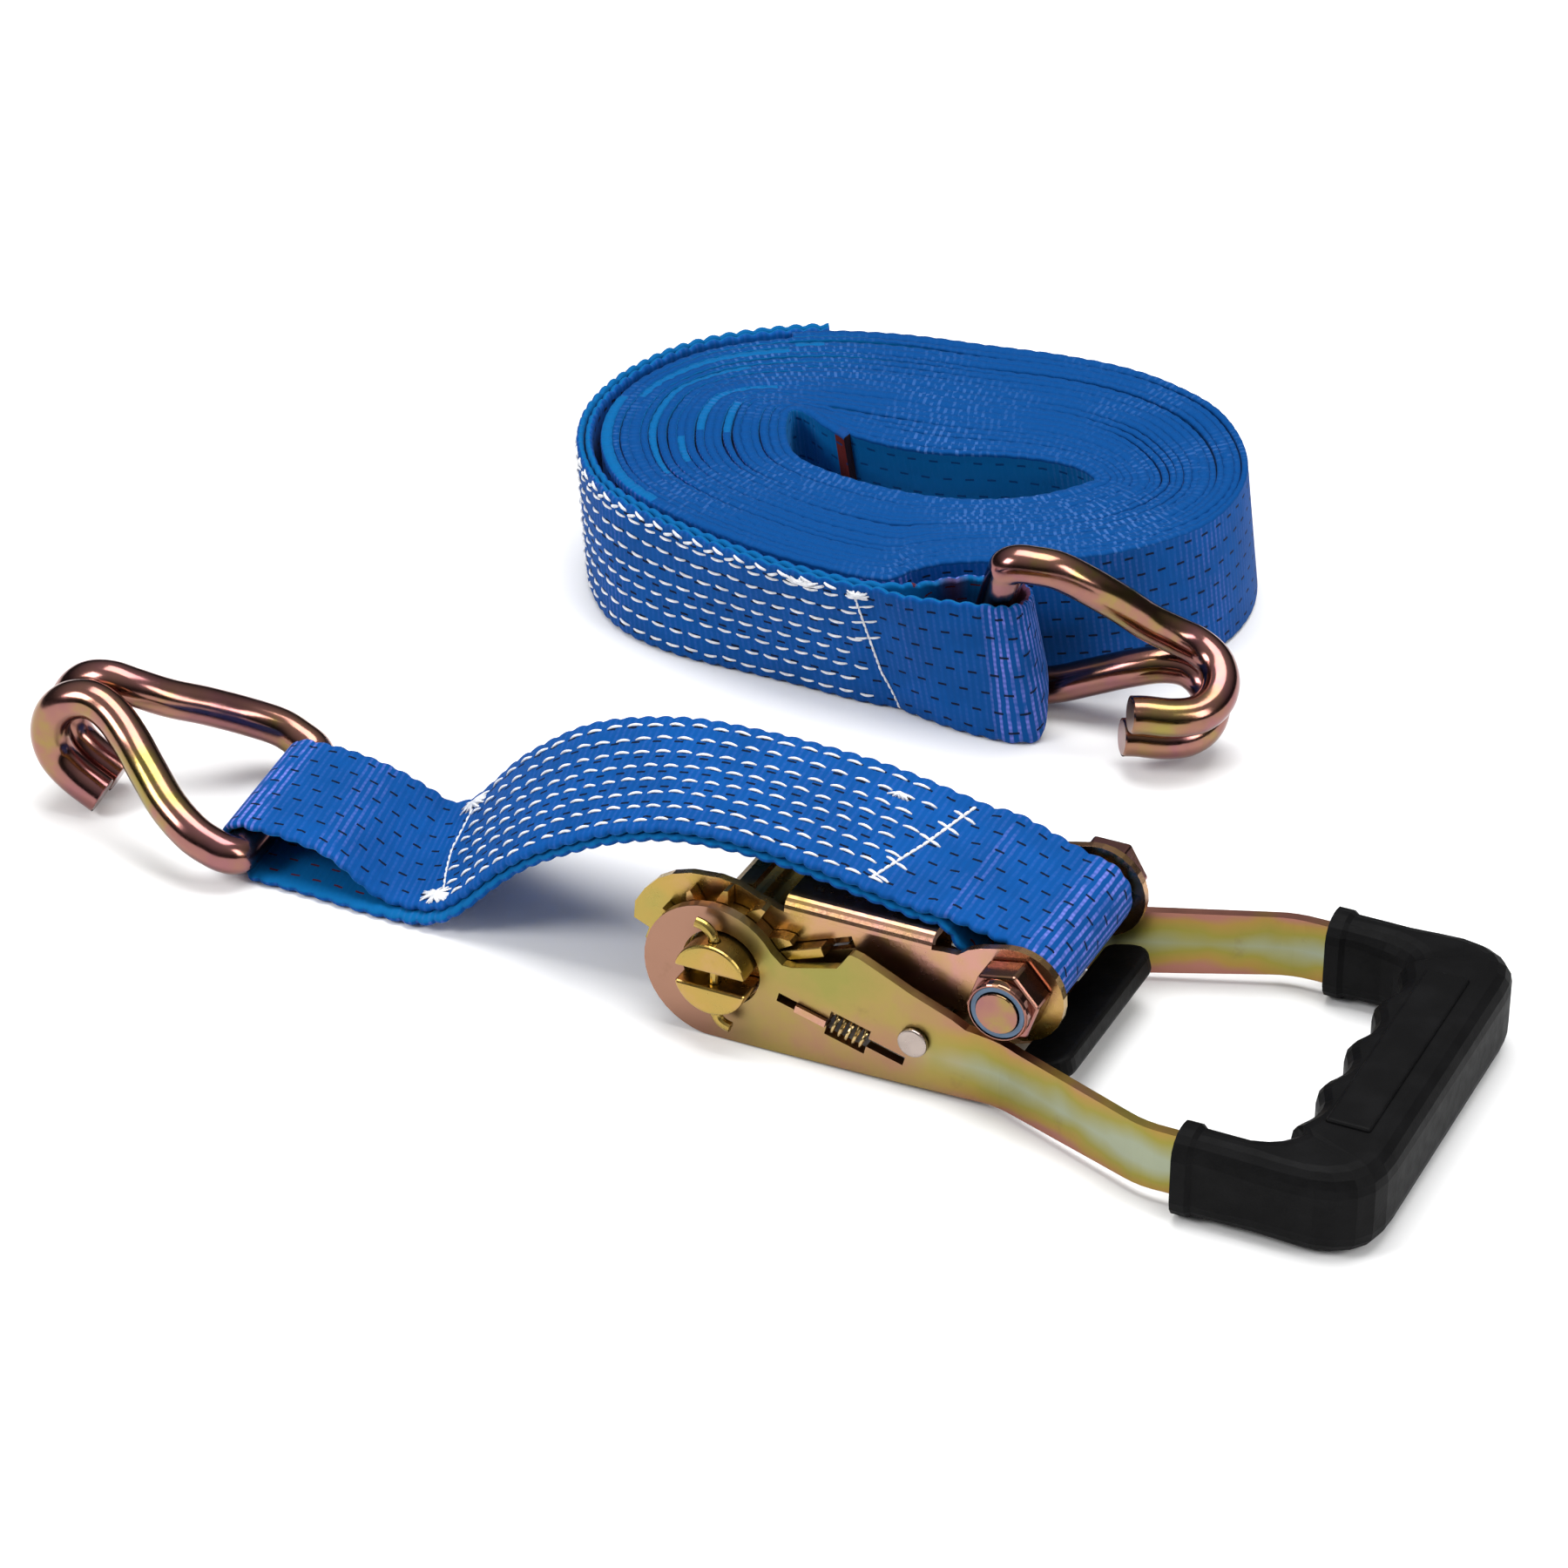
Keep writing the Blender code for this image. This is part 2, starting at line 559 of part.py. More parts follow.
# ---------------------------------------------------------------- hooks
def hook_curve(tip):
    """Half of the bent wire in its own axes: away from the bar, square to the hook plane, sideways."""
    h = HOOK_HALF
    pts = [(0, 0, 0), (0, 0, h * 0.4), (0, 0, 25.2), (0.4, 0.1, 28.2), (2.7, 1.2, 30.4), (6.6, 3.0, h + 0.3),
           (13, 6.4, h), (22, 11.0, 26.6), (31, 16.6, 19.6), (39, 21.3, 12.9), (47, 26.0, 8.0),
           (54, 28.4, 6.2), (61, 27.0, 6.1), (66.3, 22.0, 6.1), (68.4, 15.0, 6.1), (66.8, 8.0, 6.1),
           (61.8, 2.4, 6.1), (55, -2.2, 6.1), (*tip, 6.1)]
    return spline(pts, 2)


def hook(name, at, away, square, side, tip):
    half = hook_curve(tip)
    whole = [(s, q, -w) for s, q, w in half[::-1]] + half[1:]
    path = [tuple(at[i] + away[i] * s + square[i] * q + side[i] * w for i in range(3)) for s, q, w in whole]
    return node(tube(path, HOOK_R, 14), name, WIRE, at, 50)


def hook_b_axes():
    """The second hook stands on its lower corner, drooping away from the roll and tilted to the near side."""
    yaw, droop, tilt = (math.radians(a) for a in (HOOK_B_YAW, HOOK_B_DROOP, HOOK_B_TILT))
    away = Vector((math.cos(yaw) * math.cos(droop), math.sin(yaw) * math.cos(droop), -math.sin(droop)))
    upright = Vector((math.cos(yaw) * math.sin(droop), math.sin(yaw) * math.sin(droop), math.cos(droop)))
    across = upright.cross(away)
    side = upright * math.cos(tilt) + across * math.sin(tilt)
    return away, side.cross(away), side


def hooks():
    a = math.radians(HOOK_A_YAW)
    first = hook("hook_short_strap", HOOK_A, (-math.cos(a), -math.sin(a), 0), (0, 0, 1),
                 (-math.sin(a), math.cos(a), 0), TIP_A)
    away, square, side = hook_b_axes()
    second = hook("hook_long_strap", HOOK_B, tuple(away), tuple(square), tuple(side), TIP_B)
    return [first, second]


# ---------------------------------------------------------------- webbing
def ribbon(stations, closed):
    """Band of webbing: every station is a list of rows, each row a (face, back) pair of world points."""
    rows = len(stations[0])
    points, n = [], 2 * rows
    for st in stations:
        points += [p for p, _ in st] + [q for _, q in st[::-1]]
    count = len(stations)
    faces = []
    for i in range(count if closed else count - 1):
        j = (i + 1) % count
        faces += [[i * n + k, i * n + (k + 1) % n, j * n + (k + 1) % n, j * n + k] for k in range(n)]
    if not closed:
        for base in (0, (count - 1) * n):
            faces += [[base + k, base + k + 1, base + n - 2 - k, base + n - 1 - k] for k in range(rows - 1)]
    return from_faces(points, faces)


def short_strap_edge(mid, lift, bar):
    """Closed centre line (x, z) of the looped strap at one edge, from the bolt over the top to the hook."""
    half = WEB / 2 + 0.15
    merged = resample(spline(mid, 8), 34)
    upper = offset(merged, -half)
    lower = offset(merged, half)
    big = SPACER_R + GAP + WEB / 2
    small = HOOK_R + GAP + WEB / 2
    right = arc(BOLT_X, BOLT_Z, big, -137, 93, 14)
    left = arc(bar[0], bar[1], small, 92, 268, 12)
    to_top = [(74, 46.2 + lift * 0.3), (66, 47.8 + lift * 0.7), (58.5, 48.9 + lift)]
    from_top = [(bar[0] + 42, merged[-1][1] + 2.8), (bar[0] + 28, bar[1] + 5.0), (bar[0] + 13, bar[1] + 7.3)]
    back = [(bar[0] + 14, 1.55), (bar[0] + 28, 1.55 + lift * 0.35), (bar[0] + 42, merged[-1][1] - 1.6)]
    rising = [(59.4, 45.6 + lift * 0.9), (62.6, 42.4 + lift * 0.6), (68.5, 35.6)]
    def part(points, count):
        return resample(spline(points, 6), count)
    top_in = part([right[-1]] + to_top + [upper[0]], 10)[1:-1]
    top_out = part([upper[-1]] + from_top + [left[0]], 14)[1:-1]
    low_in = part([left[-1]] + back + [lower[-1]], 14)[1:-1]
    low_out = part([lower[0]] + rising + [right[0]], 12)[1:-1]
    return right + top_in + upper + top_out + left + low_in + lower[::-1] + low_out


def short_strap():
    near_mid = [(52, 47.4), (38.5, 49.3), (23, 51.6), (8, 53.0), (-7.7, 53.0), (-23.4, 51.0), (-39.3, 45.6),
                (-52.8, 38.8), (-66.5, 30.4), (-77.5, 21.0), (-86.2, 12.0), (-93.5, 6.0), (-101, 3.5),
                (-108, 2.9)]
    far_mid = [(52, 50.6), (41.4, 52.4), (28.4, 54.6), (15.4, 56.0), (-3, 56.5), (-19, 56.2), (-37.7, 54.8),
               (-54, 51.0), (-67.8, 46.0), (-79, 39.4), (-93.5, 27.6), (-104, 15.6), (-111.5, 8.2),
               (-119, 5.6)]
    a = math.radians(HOOK_A_YAW)
    reach = WEB_HALF * math.tan(a)
    near = short_strap_edge(near_mid, 0.0, (HOOK_A[0] + reach, HOOK_A[2]))
    far = short_strap_edge(far_mid, 3.2, (HOOK_A[0] - reach, HOOK_A[2]))
    rows = 4
    under = 15 + 8 + 34 + 12 + 13
    stations = []
    for i in range(len(near)):
        st = []
        for k in range(rows):
            f = k / (rows - 1)
            line = []
            for path in (near, far):
                p, q = path[i - 1], path[(i + 1) % len(path)]
                dx, dz = q[0] - p[0], q[1] - p[1]
                size = math.hypot(dx, dz)
                line.append((path[i], (dz / size, -dx / size)))
            (pn, nn), (pf, nf) = line
            x, z = pn[0] + (pf[0] - pn[0]) * f, pn[1] + (pf[1] - pn[1]) * f
            nx, nz = nn[0] + (nf[0] - nn[0]) * f, nn[1] + (nf[1] - nn[1]) * f
            size = math.hypot(nx, nz)
            nx, nz = nx / size * WEB / 2, nz / size * WEB / 2
            left = max(0.0, min(1.0, (60.0 - x) / 180.0))
            wide = WEB_HALF + 0.8 * max(0.0, min(1.0, (x + 140) / 20.0))
            y = -wide + 2 * wide * f + HOOK_A[1] * left
            if i >= under:
                y -= 3.2 * max(0.0, min(1.0, (-70.0 - x) / 30.0)) * (1 - f)
            st.append((world(x + nx, y, z + nz), world(x - nx, y, z - nz)))
        stations.append(st)
    return node(ribbon(stations, True), "short_strap", BLUE, (BOLT_X, 0, BOLT_Z), 50)


def roll_outline():
    """Outer edge of the wound strap at its top, counter-clockwise."""
    pts = [(-33, 134.4), (-26.5, 143.8), (-17.8, 153.5), (4, 166), (23, 179), (37, 197), (44, 216), (43, 240), (34, 262),
           (18, 281), (-1, 291), (-20, 295), (-42, 294), (-66, 290), (-92, 286), (-116, 278), (-136, 264),
           (-150, 247), (-157, 226), (-158, 206), (-154, 188), (-145, 171), (-131, 156), (-112, 146.5),
           (-90, 139.5), (-62, 134)]
    return spline(pts, 4, True)


def foot(point):
    """Where the webbing whose top edge is at this point meets the floor: the roll leans to the near side."""
    x, y = point
    t = max(0.0, min(1.0, (x + 128) / 70.0))
    right = max(0.0, min(1.0, (x + 10) / 50.0))
    return x - LEAN_X, y - LEAN_Y * (0.1 + 0.9 * t * t * (3 - 2 * t)) * (1 - 0.35 * right)


def hole_outline(count):
    """Edge of the crescent-shaped middle hole at the top."""
    pts = [(-104, 221), (-96, 203), (-84, 192), (-60, 187.5), (-34, 190), (-14, 201), (-2, 216), (-1, 222),
           (-12, 226), (-30, 222), (-52, 213), (-72, 212), (-88, 218), (-98, 224)]
    loop = spline(pts, 8, True)
    return resample(loop + [loop[0]], count + 1)[:-1]


def strap_roll():
    outer = roll_outline()
    count = len(outer)
    inner = hole_outline(count)
    # turn the hole's points so that they face the outer ones
    best = min(range(count), key=lambda k: sum(math.dist(outer[i], inner[(i + k) % count])
                                               for i in range(0, count, 5)))
    inner = [inner[(i + best) % count] for i in range(count)]
    points = []
    for loop, low in ((outer, False), (inner, False), (inner, True), (outer, True)):
        for x, y in loop:
            points.append(world(*foot((x, y)), 0.2) if low else world(x, y, ROLL_HEIGHT))
    faces = [[a * count + i, a * count + (i + 1) % count, ((a + 1) % 4) * count + (i + 1) % count,
              ((a + 1) % 4) * count + i] for a in range(4) for i in range(count)]
    return node(from_faces(points, faces), "strap_roll", BLUE, (0, 0, 0), 50)


def strap_end_loop():
    """Sewn double end of the long strap round the roll's front, opening to a loop on the hook's bar."""
    outer = roll_outline()
    front = outer[60:] + [outer[0]]
    clear_of_roll = offset(front, -(2 * GAP + WEB / 2))
    doubled = offset(front, -(3 * GAP + 1.5 * WEB))[::-1]

    def leant(points):
        return [foot(p) for p in points]

    def part(points, count):
        return resample(spline(points, 6), count)[1:-1]
    fold_top = arc(3.6, 140.2, 7.8, 112, -86, 15)
    fold_low = resample(spline([(-9, 160.4), (-1, 161.2), (6, 159.8), (11.5, 156), (14.8, 150.5),
                                (15.4, 145.5), (13, 141.4), (7, 139.4)], 6), 16)
    back_low, front_low = leant(clear_of_roll), leant(doubled)
    top = (clear_of_roll + part([clear_of_roll[-1], (-22, 136.0), (-9, 145.6), fold_top[0]], 14) + fold_top
           + part([fold_top[-1], (-9, 129.6), (-21, 128.2), doubled[0]], 14) + doubled)
    low = (back_low + part([back_low[-1], (-26, 149.0), (-17.5, 156.9), fold_low[0]], 14) + fold_low
           + part([fold_low[-1], (-6, 139.4), (-20, 141.6), front_low[0]], 14) + front_low)
    n1, n2 = len(clear_of_roll), len(clear_of_roll) + 12
    sides = [[offset(path, WEB / 2), offset(path, -WEB / 2)] for path in (low, top)]
    stations = []
    for i in range(len(top)):
        # the back of the loop rides up over the hook's lower leg
        if i < n2:
            ride = max(0.0, min(1.0, (i - n1) / 6.0))
        else:
            ride = max(0.0, min(1.0, (n2 + 11.5 - i) / 4.5))
        near_fold = max(0.0, min(1.0, (top[i][0] + 33) / 26.0))
        z0 = 0.2 + 19.5 * ride * ride * (3 - 2 * ride)
        z1 = ROLL_HEIGHT + 1.5 * near_fold
        st = []
        for k in range(3):
            u = k / 2
            pair = []
            for side in (0, 1):
                a, b = sides[0][side][i], sides[1][side][i]
                pair.append(world(a[0] + (b[0] - a[0]) * u, a[1] + (b[1] - a[1]) * u, z0 + (z1 - z0) * u))
            st.append(tuple(pair))
        stations.append(st)
    return node(ribbon(stations, False), "strap_end_loop", BLUE, (0, 0, 0), 50)


def main():
    clear()
    frame_parts()
    mandrel_half(1, "mandrel_half_upper")
    mandrel_half(-1, "mandrel_half_lower")
    wheel(-1, "ratchet_wheel_near")
    wheel(1, "ratchet_wheel_far")
    cotter(-COTTER_Y, "cotter_pin_near")
    cotter(COTTER_Y, "cotter_pin_far")
    pawls()
    arm(-1, "handle_arm_near")
    arm(1, "handle_arm_far")
    cross_rod()
    grip_core()
    grip()
    hooks()
    short_strap()
    strap_roll()
    strap_end_loop()


main()
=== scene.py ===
"""Ratchet tie down: webbing, stitching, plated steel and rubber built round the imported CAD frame."""
import math
import random

import bpy
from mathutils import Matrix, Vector

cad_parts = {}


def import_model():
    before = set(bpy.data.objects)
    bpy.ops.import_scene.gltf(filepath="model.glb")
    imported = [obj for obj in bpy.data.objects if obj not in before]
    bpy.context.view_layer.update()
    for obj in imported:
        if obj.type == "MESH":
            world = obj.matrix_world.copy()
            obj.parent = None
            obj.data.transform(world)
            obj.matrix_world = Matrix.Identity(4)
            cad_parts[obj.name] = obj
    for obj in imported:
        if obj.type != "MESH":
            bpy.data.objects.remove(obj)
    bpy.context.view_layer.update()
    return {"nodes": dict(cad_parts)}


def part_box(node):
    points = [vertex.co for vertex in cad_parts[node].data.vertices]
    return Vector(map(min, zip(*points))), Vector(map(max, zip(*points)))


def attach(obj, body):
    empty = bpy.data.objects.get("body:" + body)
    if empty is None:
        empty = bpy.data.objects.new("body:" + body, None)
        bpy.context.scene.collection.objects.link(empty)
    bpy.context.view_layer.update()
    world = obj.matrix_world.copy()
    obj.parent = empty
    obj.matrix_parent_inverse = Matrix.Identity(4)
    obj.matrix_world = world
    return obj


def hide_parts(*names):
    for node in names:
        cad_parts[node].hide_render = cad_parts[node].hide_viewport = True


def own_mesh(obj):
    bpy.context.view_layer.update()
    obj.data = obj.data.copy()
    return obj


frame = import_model()
NODES = frame["nodes"]

MM = 0.001
# the ratchet's own axes: X 0 and Y 0 at the middle of the mandrel, floor at Z 0, lengths in mm
low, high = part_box("mandrel_half_upper")
ORIGIN_X, ORIGIN_Y = (low.x + high.x) / 2, (low.y + high.y) / 2

# ratchet
MANDREL_Z, LOCK_ANGLE, PULL_ANGLE = 22.8, 21.0, -15.0      # the pawls slide along these radial lines
BOLT_X, BOLT_Z, SPACER_R = 82.4, 34.6, 8.5
# webbing: thickness, half width, and the gap that touching pieces keep
WEB, WEB_HALF, GAP = 2.4, 24.5, 0.3
SCALLOP, SCALLOP_PITCH = 1.35, 5.6
# hooks: A on the short strap, B on the long one; each is placed by the middle of its bar
HOOK_R, HOOK_HALF, HOOK_CHAMFER, HOOK_SIDES = 5.75, 31.0, 0.7, 28
HOOK_A, HOOK_A_YAW = (-161.5, 3.0, 8.75), 7.0
HOOK_B = (-1.0, 145.0, 37.2)
HOOK_B_YAW, HOOK_B_DROOP, HOOK_B_TILT = -3.9, 21.5, -18.7
TIP_A, TIP_B = (53.0, -3.4), (51.6, -5.0)
# wound strap: its top's height, and how far the roll leans
ROLL_HEIGHT, LEAN_X, LEAN_Y = 48.0, -2.0, -14.0
TURNS = 20
ROLL_WEB_MAX, ROLL_SCALLOP = 4.2, 0.4
# sewing
STITCH_PITCH, STITCH_LENGTH, STITCH_RADIUS, STITCH_ARCH = 6.6, 4.7, 0.50, 0.45
THREAD_SINK = 0.12
# weave, in metres, as the UV map gives lengths: ribs, cords, and the rows and dashes of marker yarn
RIB_PITCH, CORD_PITCH, ROW_PITCH, DASH_PITCH = 0.00215, 0.0019, 0.0069, 0.0068
CAMERA_PLACE, CAMERA_LINE, CAMERA_LENS = (0.52914, -1.18049, 0.77417), (-0.36943, 0.77024, -0.51986), 116.72

rng = random.Random(7)


def world(x, y, z):
    return Vector((ORIGIN_X + x * MM, ORIGIN_Y + y * MM, z * MM))


# ---------------------------------------------------------------- curves
def arc(cx, cy, r, a0, a1, n):
    return [(cx + r * math.cos(math.radians(a0 + (a1 - a0) * i / n)),
             cy + r * math.sin(math.radians(a0 + (a1 - a0) * i / n))) for i in range(n + 1)]


def spline(points, per=6, closed=False):
    """Catmull-Rom curve through points of any dimension."""
    out = []
    n = len(points)
    for i in range(n if closed else n - 1):
        p0 = points[(i - 1) % n] if (closed or i > 0) else points[0]
        p1 = points[i]
        p2 = points[(i + 1) % n]
        p3 = points[(i + 2) % n] if (closed or i + 2 < n) else points[-1]
        for k in range(per):
            t = k / per
            out.append(tuple(0.5 * (2 * b + (c - a) * t + (2 * a - 5 * b + 4 * c - d) * t * t
                                    + (3 * b - a - 3 * c + d) * t ** 3)
                             for a, b, c, d in zip(p0, p1, p2, p3)))
    if not closed:
        out.append(tuple(points[-1]))
    return out


def resample(points, count):
    """Points at even distances along an open polyline."""
    lengths = [0.0]
    for a, b in zip(points, points[1:]):
        lengths.append(lengths[-1] + math.dist(a, b))
    out, j = [], 0
    for i in range(count):
        s = lengths[-1] * i / (count - 1)
        while j < len(lengths) - 2 and lengths[j + 1] < s:
            j += 1
        f = (s - lengths[j]) / max(lengths[j + 1] - lengths[j], 1e-9)
        out.append(tuple(a + (b - a) * f for a, b in zip(points[j], points[j + 1])))
    return out


def offset(path, d):
    """Offset a 2-D polyline to its left by d."""
    out = []
    n = len(path)
    for i in range(n):
        a = path[max(i - 1, 0)]
        b = path[min(i + 1, n - 1)]
        dx, dy = b[0] - a[0], b[1] - a[1]
        size = math.hypot(dx, dy) or 1
        out.append((path[i][0] - dy / size * d, path[i][1] + dx / size * d))
    return out


def clamp(x, a=0.0, b=1.0):
    return max(a, min(b, x))


# ---------------------------------------------------------------- webbing
class Band:
    """A band of webbing: even stations of two edges, with tangent, outer normal, distance and bend."""

    def __init__(self, edges, step, closed):
        """edges: 6-tuples, edge A then edge B, in mm in the ratchet's axes."""
        fine = spline(edges, 4, closed)
        if closed:
            fine.append(fine[0])
        total = sum(math.dist(a, b) for a, b in zip(fine, fine[1:]))
        count = max(8, int(total / math.sqrt(2) / step))
        pts = resample(fine, count + 1)
        if closed:
            pts = pts[:-1]
        self.closed = closed
        self.a = [Vector(p[:3]) for p in pts]
        self.b = [Vector(p[3:]) for p in pts]
        n = len(pts)
        self.count = n
        mid = [(a + b) / 2 for a, b in zip(self.a, self.b)]
        self.mid = mid
        self.u = [0.0]
        for i in range(1, n):
            self.u.append(self.u[-1] + (mid[i] - mid[i - 1]).length)
        self.length = self.u[-1] + ((mid[0] - mid[-1]).length if closed else 0.0)
        self.normal, self.tangent = [], []
        for i in range(n):
            p = mid[i - 1] if (i or closed) else mid[0]
            q = mid[(i + 1) % n] if (i < n - 1 or closed) else mid[i]
            t = (q - p).normalized()
            across = (self.b[i] - self.a[i]).normalized()
            self.tangent.append(t)
            self.normal.append(across.cross(t).normalized())
        raw = []
        for i in range(n):
            j = (i + 1) % n if closed else min(i + 1, n - 1)
            k = i - 1 if (i or closed) else 0
            gap = max((mid[j] - mid[k]).length, 1e-6)
            raw.append(-(self.tangent[j] - self.tangent[k]).dot(self.normal[i]) / gap)
            reach = 6
        self.bend = []
        for i in range(n):
            near = [raw[(i + d) % n] if closed else raw[int(clamp(i + d, 0, n - 1))]
                    for d in range(-reach, reach + 1)]
            self.bend.append(sum(near) / len(near))

    def at(self, u, v, rise):
        """Point at distance u along and v (-1 to 1) across, risen above the middle, with its frame."""
        if self.closed:
            u %= self.length
        i = int(clamp(u / self.length * self.count, 0, self.count - 1))
        while i > 0 and self.u[i] > u:
            i -= 1
        while i < self.count - 1 and self.u[i + 1] < u:
            i += 1
        j = (i + 1) % self.count if self.closed else min(i + 1, self.count - 1)
        span = (self.mid[j] - self.mid[i]).length or 1.0
        f = clamp((u - self.u[i]) / span)
        a, b = self.a[i].lerp(self.a[j], f), self.b[i].lerp(self.b[j], f)
        n = self.normal[i].lerp(self.normal[j], f).normalized()
        return (a + b) / 2 + (b - a) / 2 * v + n * rise, self.tangent[i], n, (b - a).normalized()


def build(name, points, faces, mat):
    """Smooth-shaded mesh object from world points."""
    mesh = bpy.data.meshes.new(name)
    mesh.from_pydata([tuple(p) for p in points], [], faces)
    mesh.update()
    mesh.materials.append(mat)
    mesh.shade_smooth()
    obj = bpy.data.objects.new(name, mesh)
    bpy.context.scene.collection.objects.link(obj)
    return obj


# (place across the webbing, share of its thickness) of the columns of points on each face
FULL_COLUMNS = ((-1, .3), (-.985, .78), (-.95, 1), (-.5, 1), (0, 1), (.5, 1), (.95, 1), (.985, .78),
                (1, .3))
ROLL_COLUMNS = ((-1, .84), (-.975, 1), (0, 1), (.975, 1), (1, .84))


def webbing(name, band, thick, mat, body, columns=FULL_COLUMNS, scallop=SCALLOP, cut_end=False):
    """Closed mesh of the band: flat faces, rounded and scalloped edges, lengths kept in its UV map.

    thick gives the thickness at each station. The attribute "bend" is 0 on flat stretches, up to 1 on
    tight bends, and -1 at a raw cut end.
    """
    n = band.count
    ring = 2 * len(columns)
    points, widths = [], []
    for i in range(n):
        a, b, normal = band.a[i], band.b[i], band.normal[i]
        half = (b - a) / 2
        side = half.normalized()
        h = thick(i)
        wave = [abs(math.sin(math.pi * (band.u[i] / SCALLOP_PITCH + shift))) ** 0.8 - 0.5
                for shift in (0, .5)]
        loop = []
        for v, f in columns:
            edge = clamp((abs(v) - 0.9) / 0.1)
            out = side * (scallop * edge * (wave[0] if v < 0 else wave[1]) * (1 if v > 0 else -1))
            loop.append(((a + b) / 2 + half * v + out, f * h / 2))
        points += [world(*(p + normal * f)) for p, f in loop]
        points += [world(*(p - normal * f)) for p, f in loop[::-1]]
        widths.append(half.length)
    faces, uvs = [], []
    vs = [v for v, _ in columns] + [v for v, _ in columns[::-1]]
    for i in range(n if band.closed else n - 1):
        j = (i + 1) % n
        u0, u1 = band.u[i], band.u[j] if j else band.length
        for k in range(ring):
            m = (k + 1) % ring
            faces.append([i * ring + k, i * ring + m, j * ring + m, j * ring + k])
            back = 1.0 if k >= ring // 2 - 1 and k < ring - 1 else 0.0
            w = widths[i] * MM
            uvs.append([(u0 * MM, vs[k] * w + back), (u0 * MM, vs[m] * w + back),
                        (u1 * MM, vs[m] * w + back), (u1 * MM, vs[k] * w + back)])
    if not band.closed:
        for base in (0, (n - 1) * ring):
            for k in range(ring // 2 - 1):
                face = [base + k, base + k + 1, base + ring - 2 - k, base + ring - 1 - k]
                faces.append(face if base else face[::-1])
                uvs.append([(band.u[-1] * MM if base else 0.0, 0.0)] * 4)
    obj = build(name, points, faces, mat)
    layer = obj.data.uv_layers.new(name="Length")
    for poly, corner in zip(obj.data.polygons, uvs):
        for loop_index, uv in zip(poly.loop_indices, corner):
            layer.data[loop_index].uv = uv
    bend = obj.data.attributes.new("bend", "FLOAT", "POINT")
    for i in range(n):
        k = clamp((band.bend[i] - 0.013) * 24)
        if cut_end and i > n - 5:
            k = -1.0
        for r in range(ring):
            bend.data[i * ring + r].value = k
    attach(obj, body)
    return obj


def thread(path, radius, sides=6):
    """Points and faces of a thread along a path of (point, normal), pointed at both ends."""
    points, faces = [], []
    n = len(path)
    for i, (p, normal) in enumerate(path):
        q = path[min(i + 1, n - 1)][0] - path[max(i - 1, 0)][0]
        t = q.normalized()
        side = t.cross(normal).normalized()
        up = side.cross(t)
        f = math.sin(math.pi * (0.12 + 0.76 * i / (n - 1))) ** 0.5
        for k in range(sides):
            a = 2 * math.pi * k / sides
            points.append(p + (side * math.cos(a) + up * math.sin(a) * 0.75) * radius * f)
    for i in range(n - 1):
        for k in range(sides):
            m = (k + 1) % sides
            faces.append([i * sides + k, i * sides + m, (i + 1) * sides + m, (i + 1) * sides + k])
    faces.append(list(range(sides))[::-1])
    faces.append([(n - 1) * sides + k for k in range(sides)])
    return points, faces


class Sewing:
    """Collects threads lying on a band and makes one mesh of them."""

    def __init__(self, band, rise):
        self.band, self.rise = band, rise
        self.points, self.faces = [], []

    def add(self, path, radius):
        points, faces = thread(path, radius)
        base = len(self.points)
        self.points += [world(*p) for p in points]
        self.faces += [[base + i for i in f] for f in faces]

    def stitch(self, u0, v0, u1, v1, radius=STITCH_RADIUS, arch=STITCH_ARCH, steps=5):
        """One stitch between two places on the band, standing a little proud in its middle."""
        path = []
        for i in range(steps + 1):
            f = i / steps
            lift = self.rise + arch * math.sin(math.pi * f) - THREAD_SINK
            p, _, n, _ = self.band.at(u0 + (u1 - u0) * f, v0 + (v1 - v0) * f, lift)
            path.append((p, n))
        self.add(path, radius)

    def row(self, u0, u1, v, shift=0.0, drift=0.0):
        """Running stitches along the band at v, v drifting by `drift` from end to end."""
        u = u0 + shift
        while u < u1:
            f = (u - u0) / (u1 - u0)
            wobble = rng.uniform(-0.012, 0.012)
            v_here = v + drift * f
            self.stitch(u, v_here + wobble, min(u + STITCH_LENGTH * rng.uniform(0.88, 1.06), u1),
                        v_here + wobble + rng.uniform(-0.02, 0.02))
            u += STITCH_PITCH

    def tack(self, u, v, wide, long, count):
        """A dense blob of thread: short stitches laid across one another."""
        for _ in range(count):
            du, dv = rng.uniform(-long, long) / 2, rng.uniform(-wide, wide) / 2
            self.stitch(u + du, v + dv, u - du * 0.7 + rng.uniform(-.6, .6),
                        v - dv + rng.uniform(-.02, .02), STITCH_RADIUS, 0.9, 4)

    def line(self, places, length=2.4, radius=0.42):
        """Continuous lock stitches through the given (u, v) places, evenly spaced."""
        pts = resample([(u, v * WEB_HALF) for u, v in places], max(3, int(
            sum(math.dist((a[0], a[1] * WEB_HALF), (b[0], b[1] * WEB_HALF))
                for a, b in zip(places, places[1:])) / length)))
        for p, q in zip(pts, pts[1:]):
            self.stitch(p[0], p[1] / WEB_HALF, q[0], q[1] / WEB_HALF, radius, 0.25, 3)

    def make(self, name, body):
        obj = build(name, self.points, self.faces, THREAD)
        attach(obj, body)
        return obj


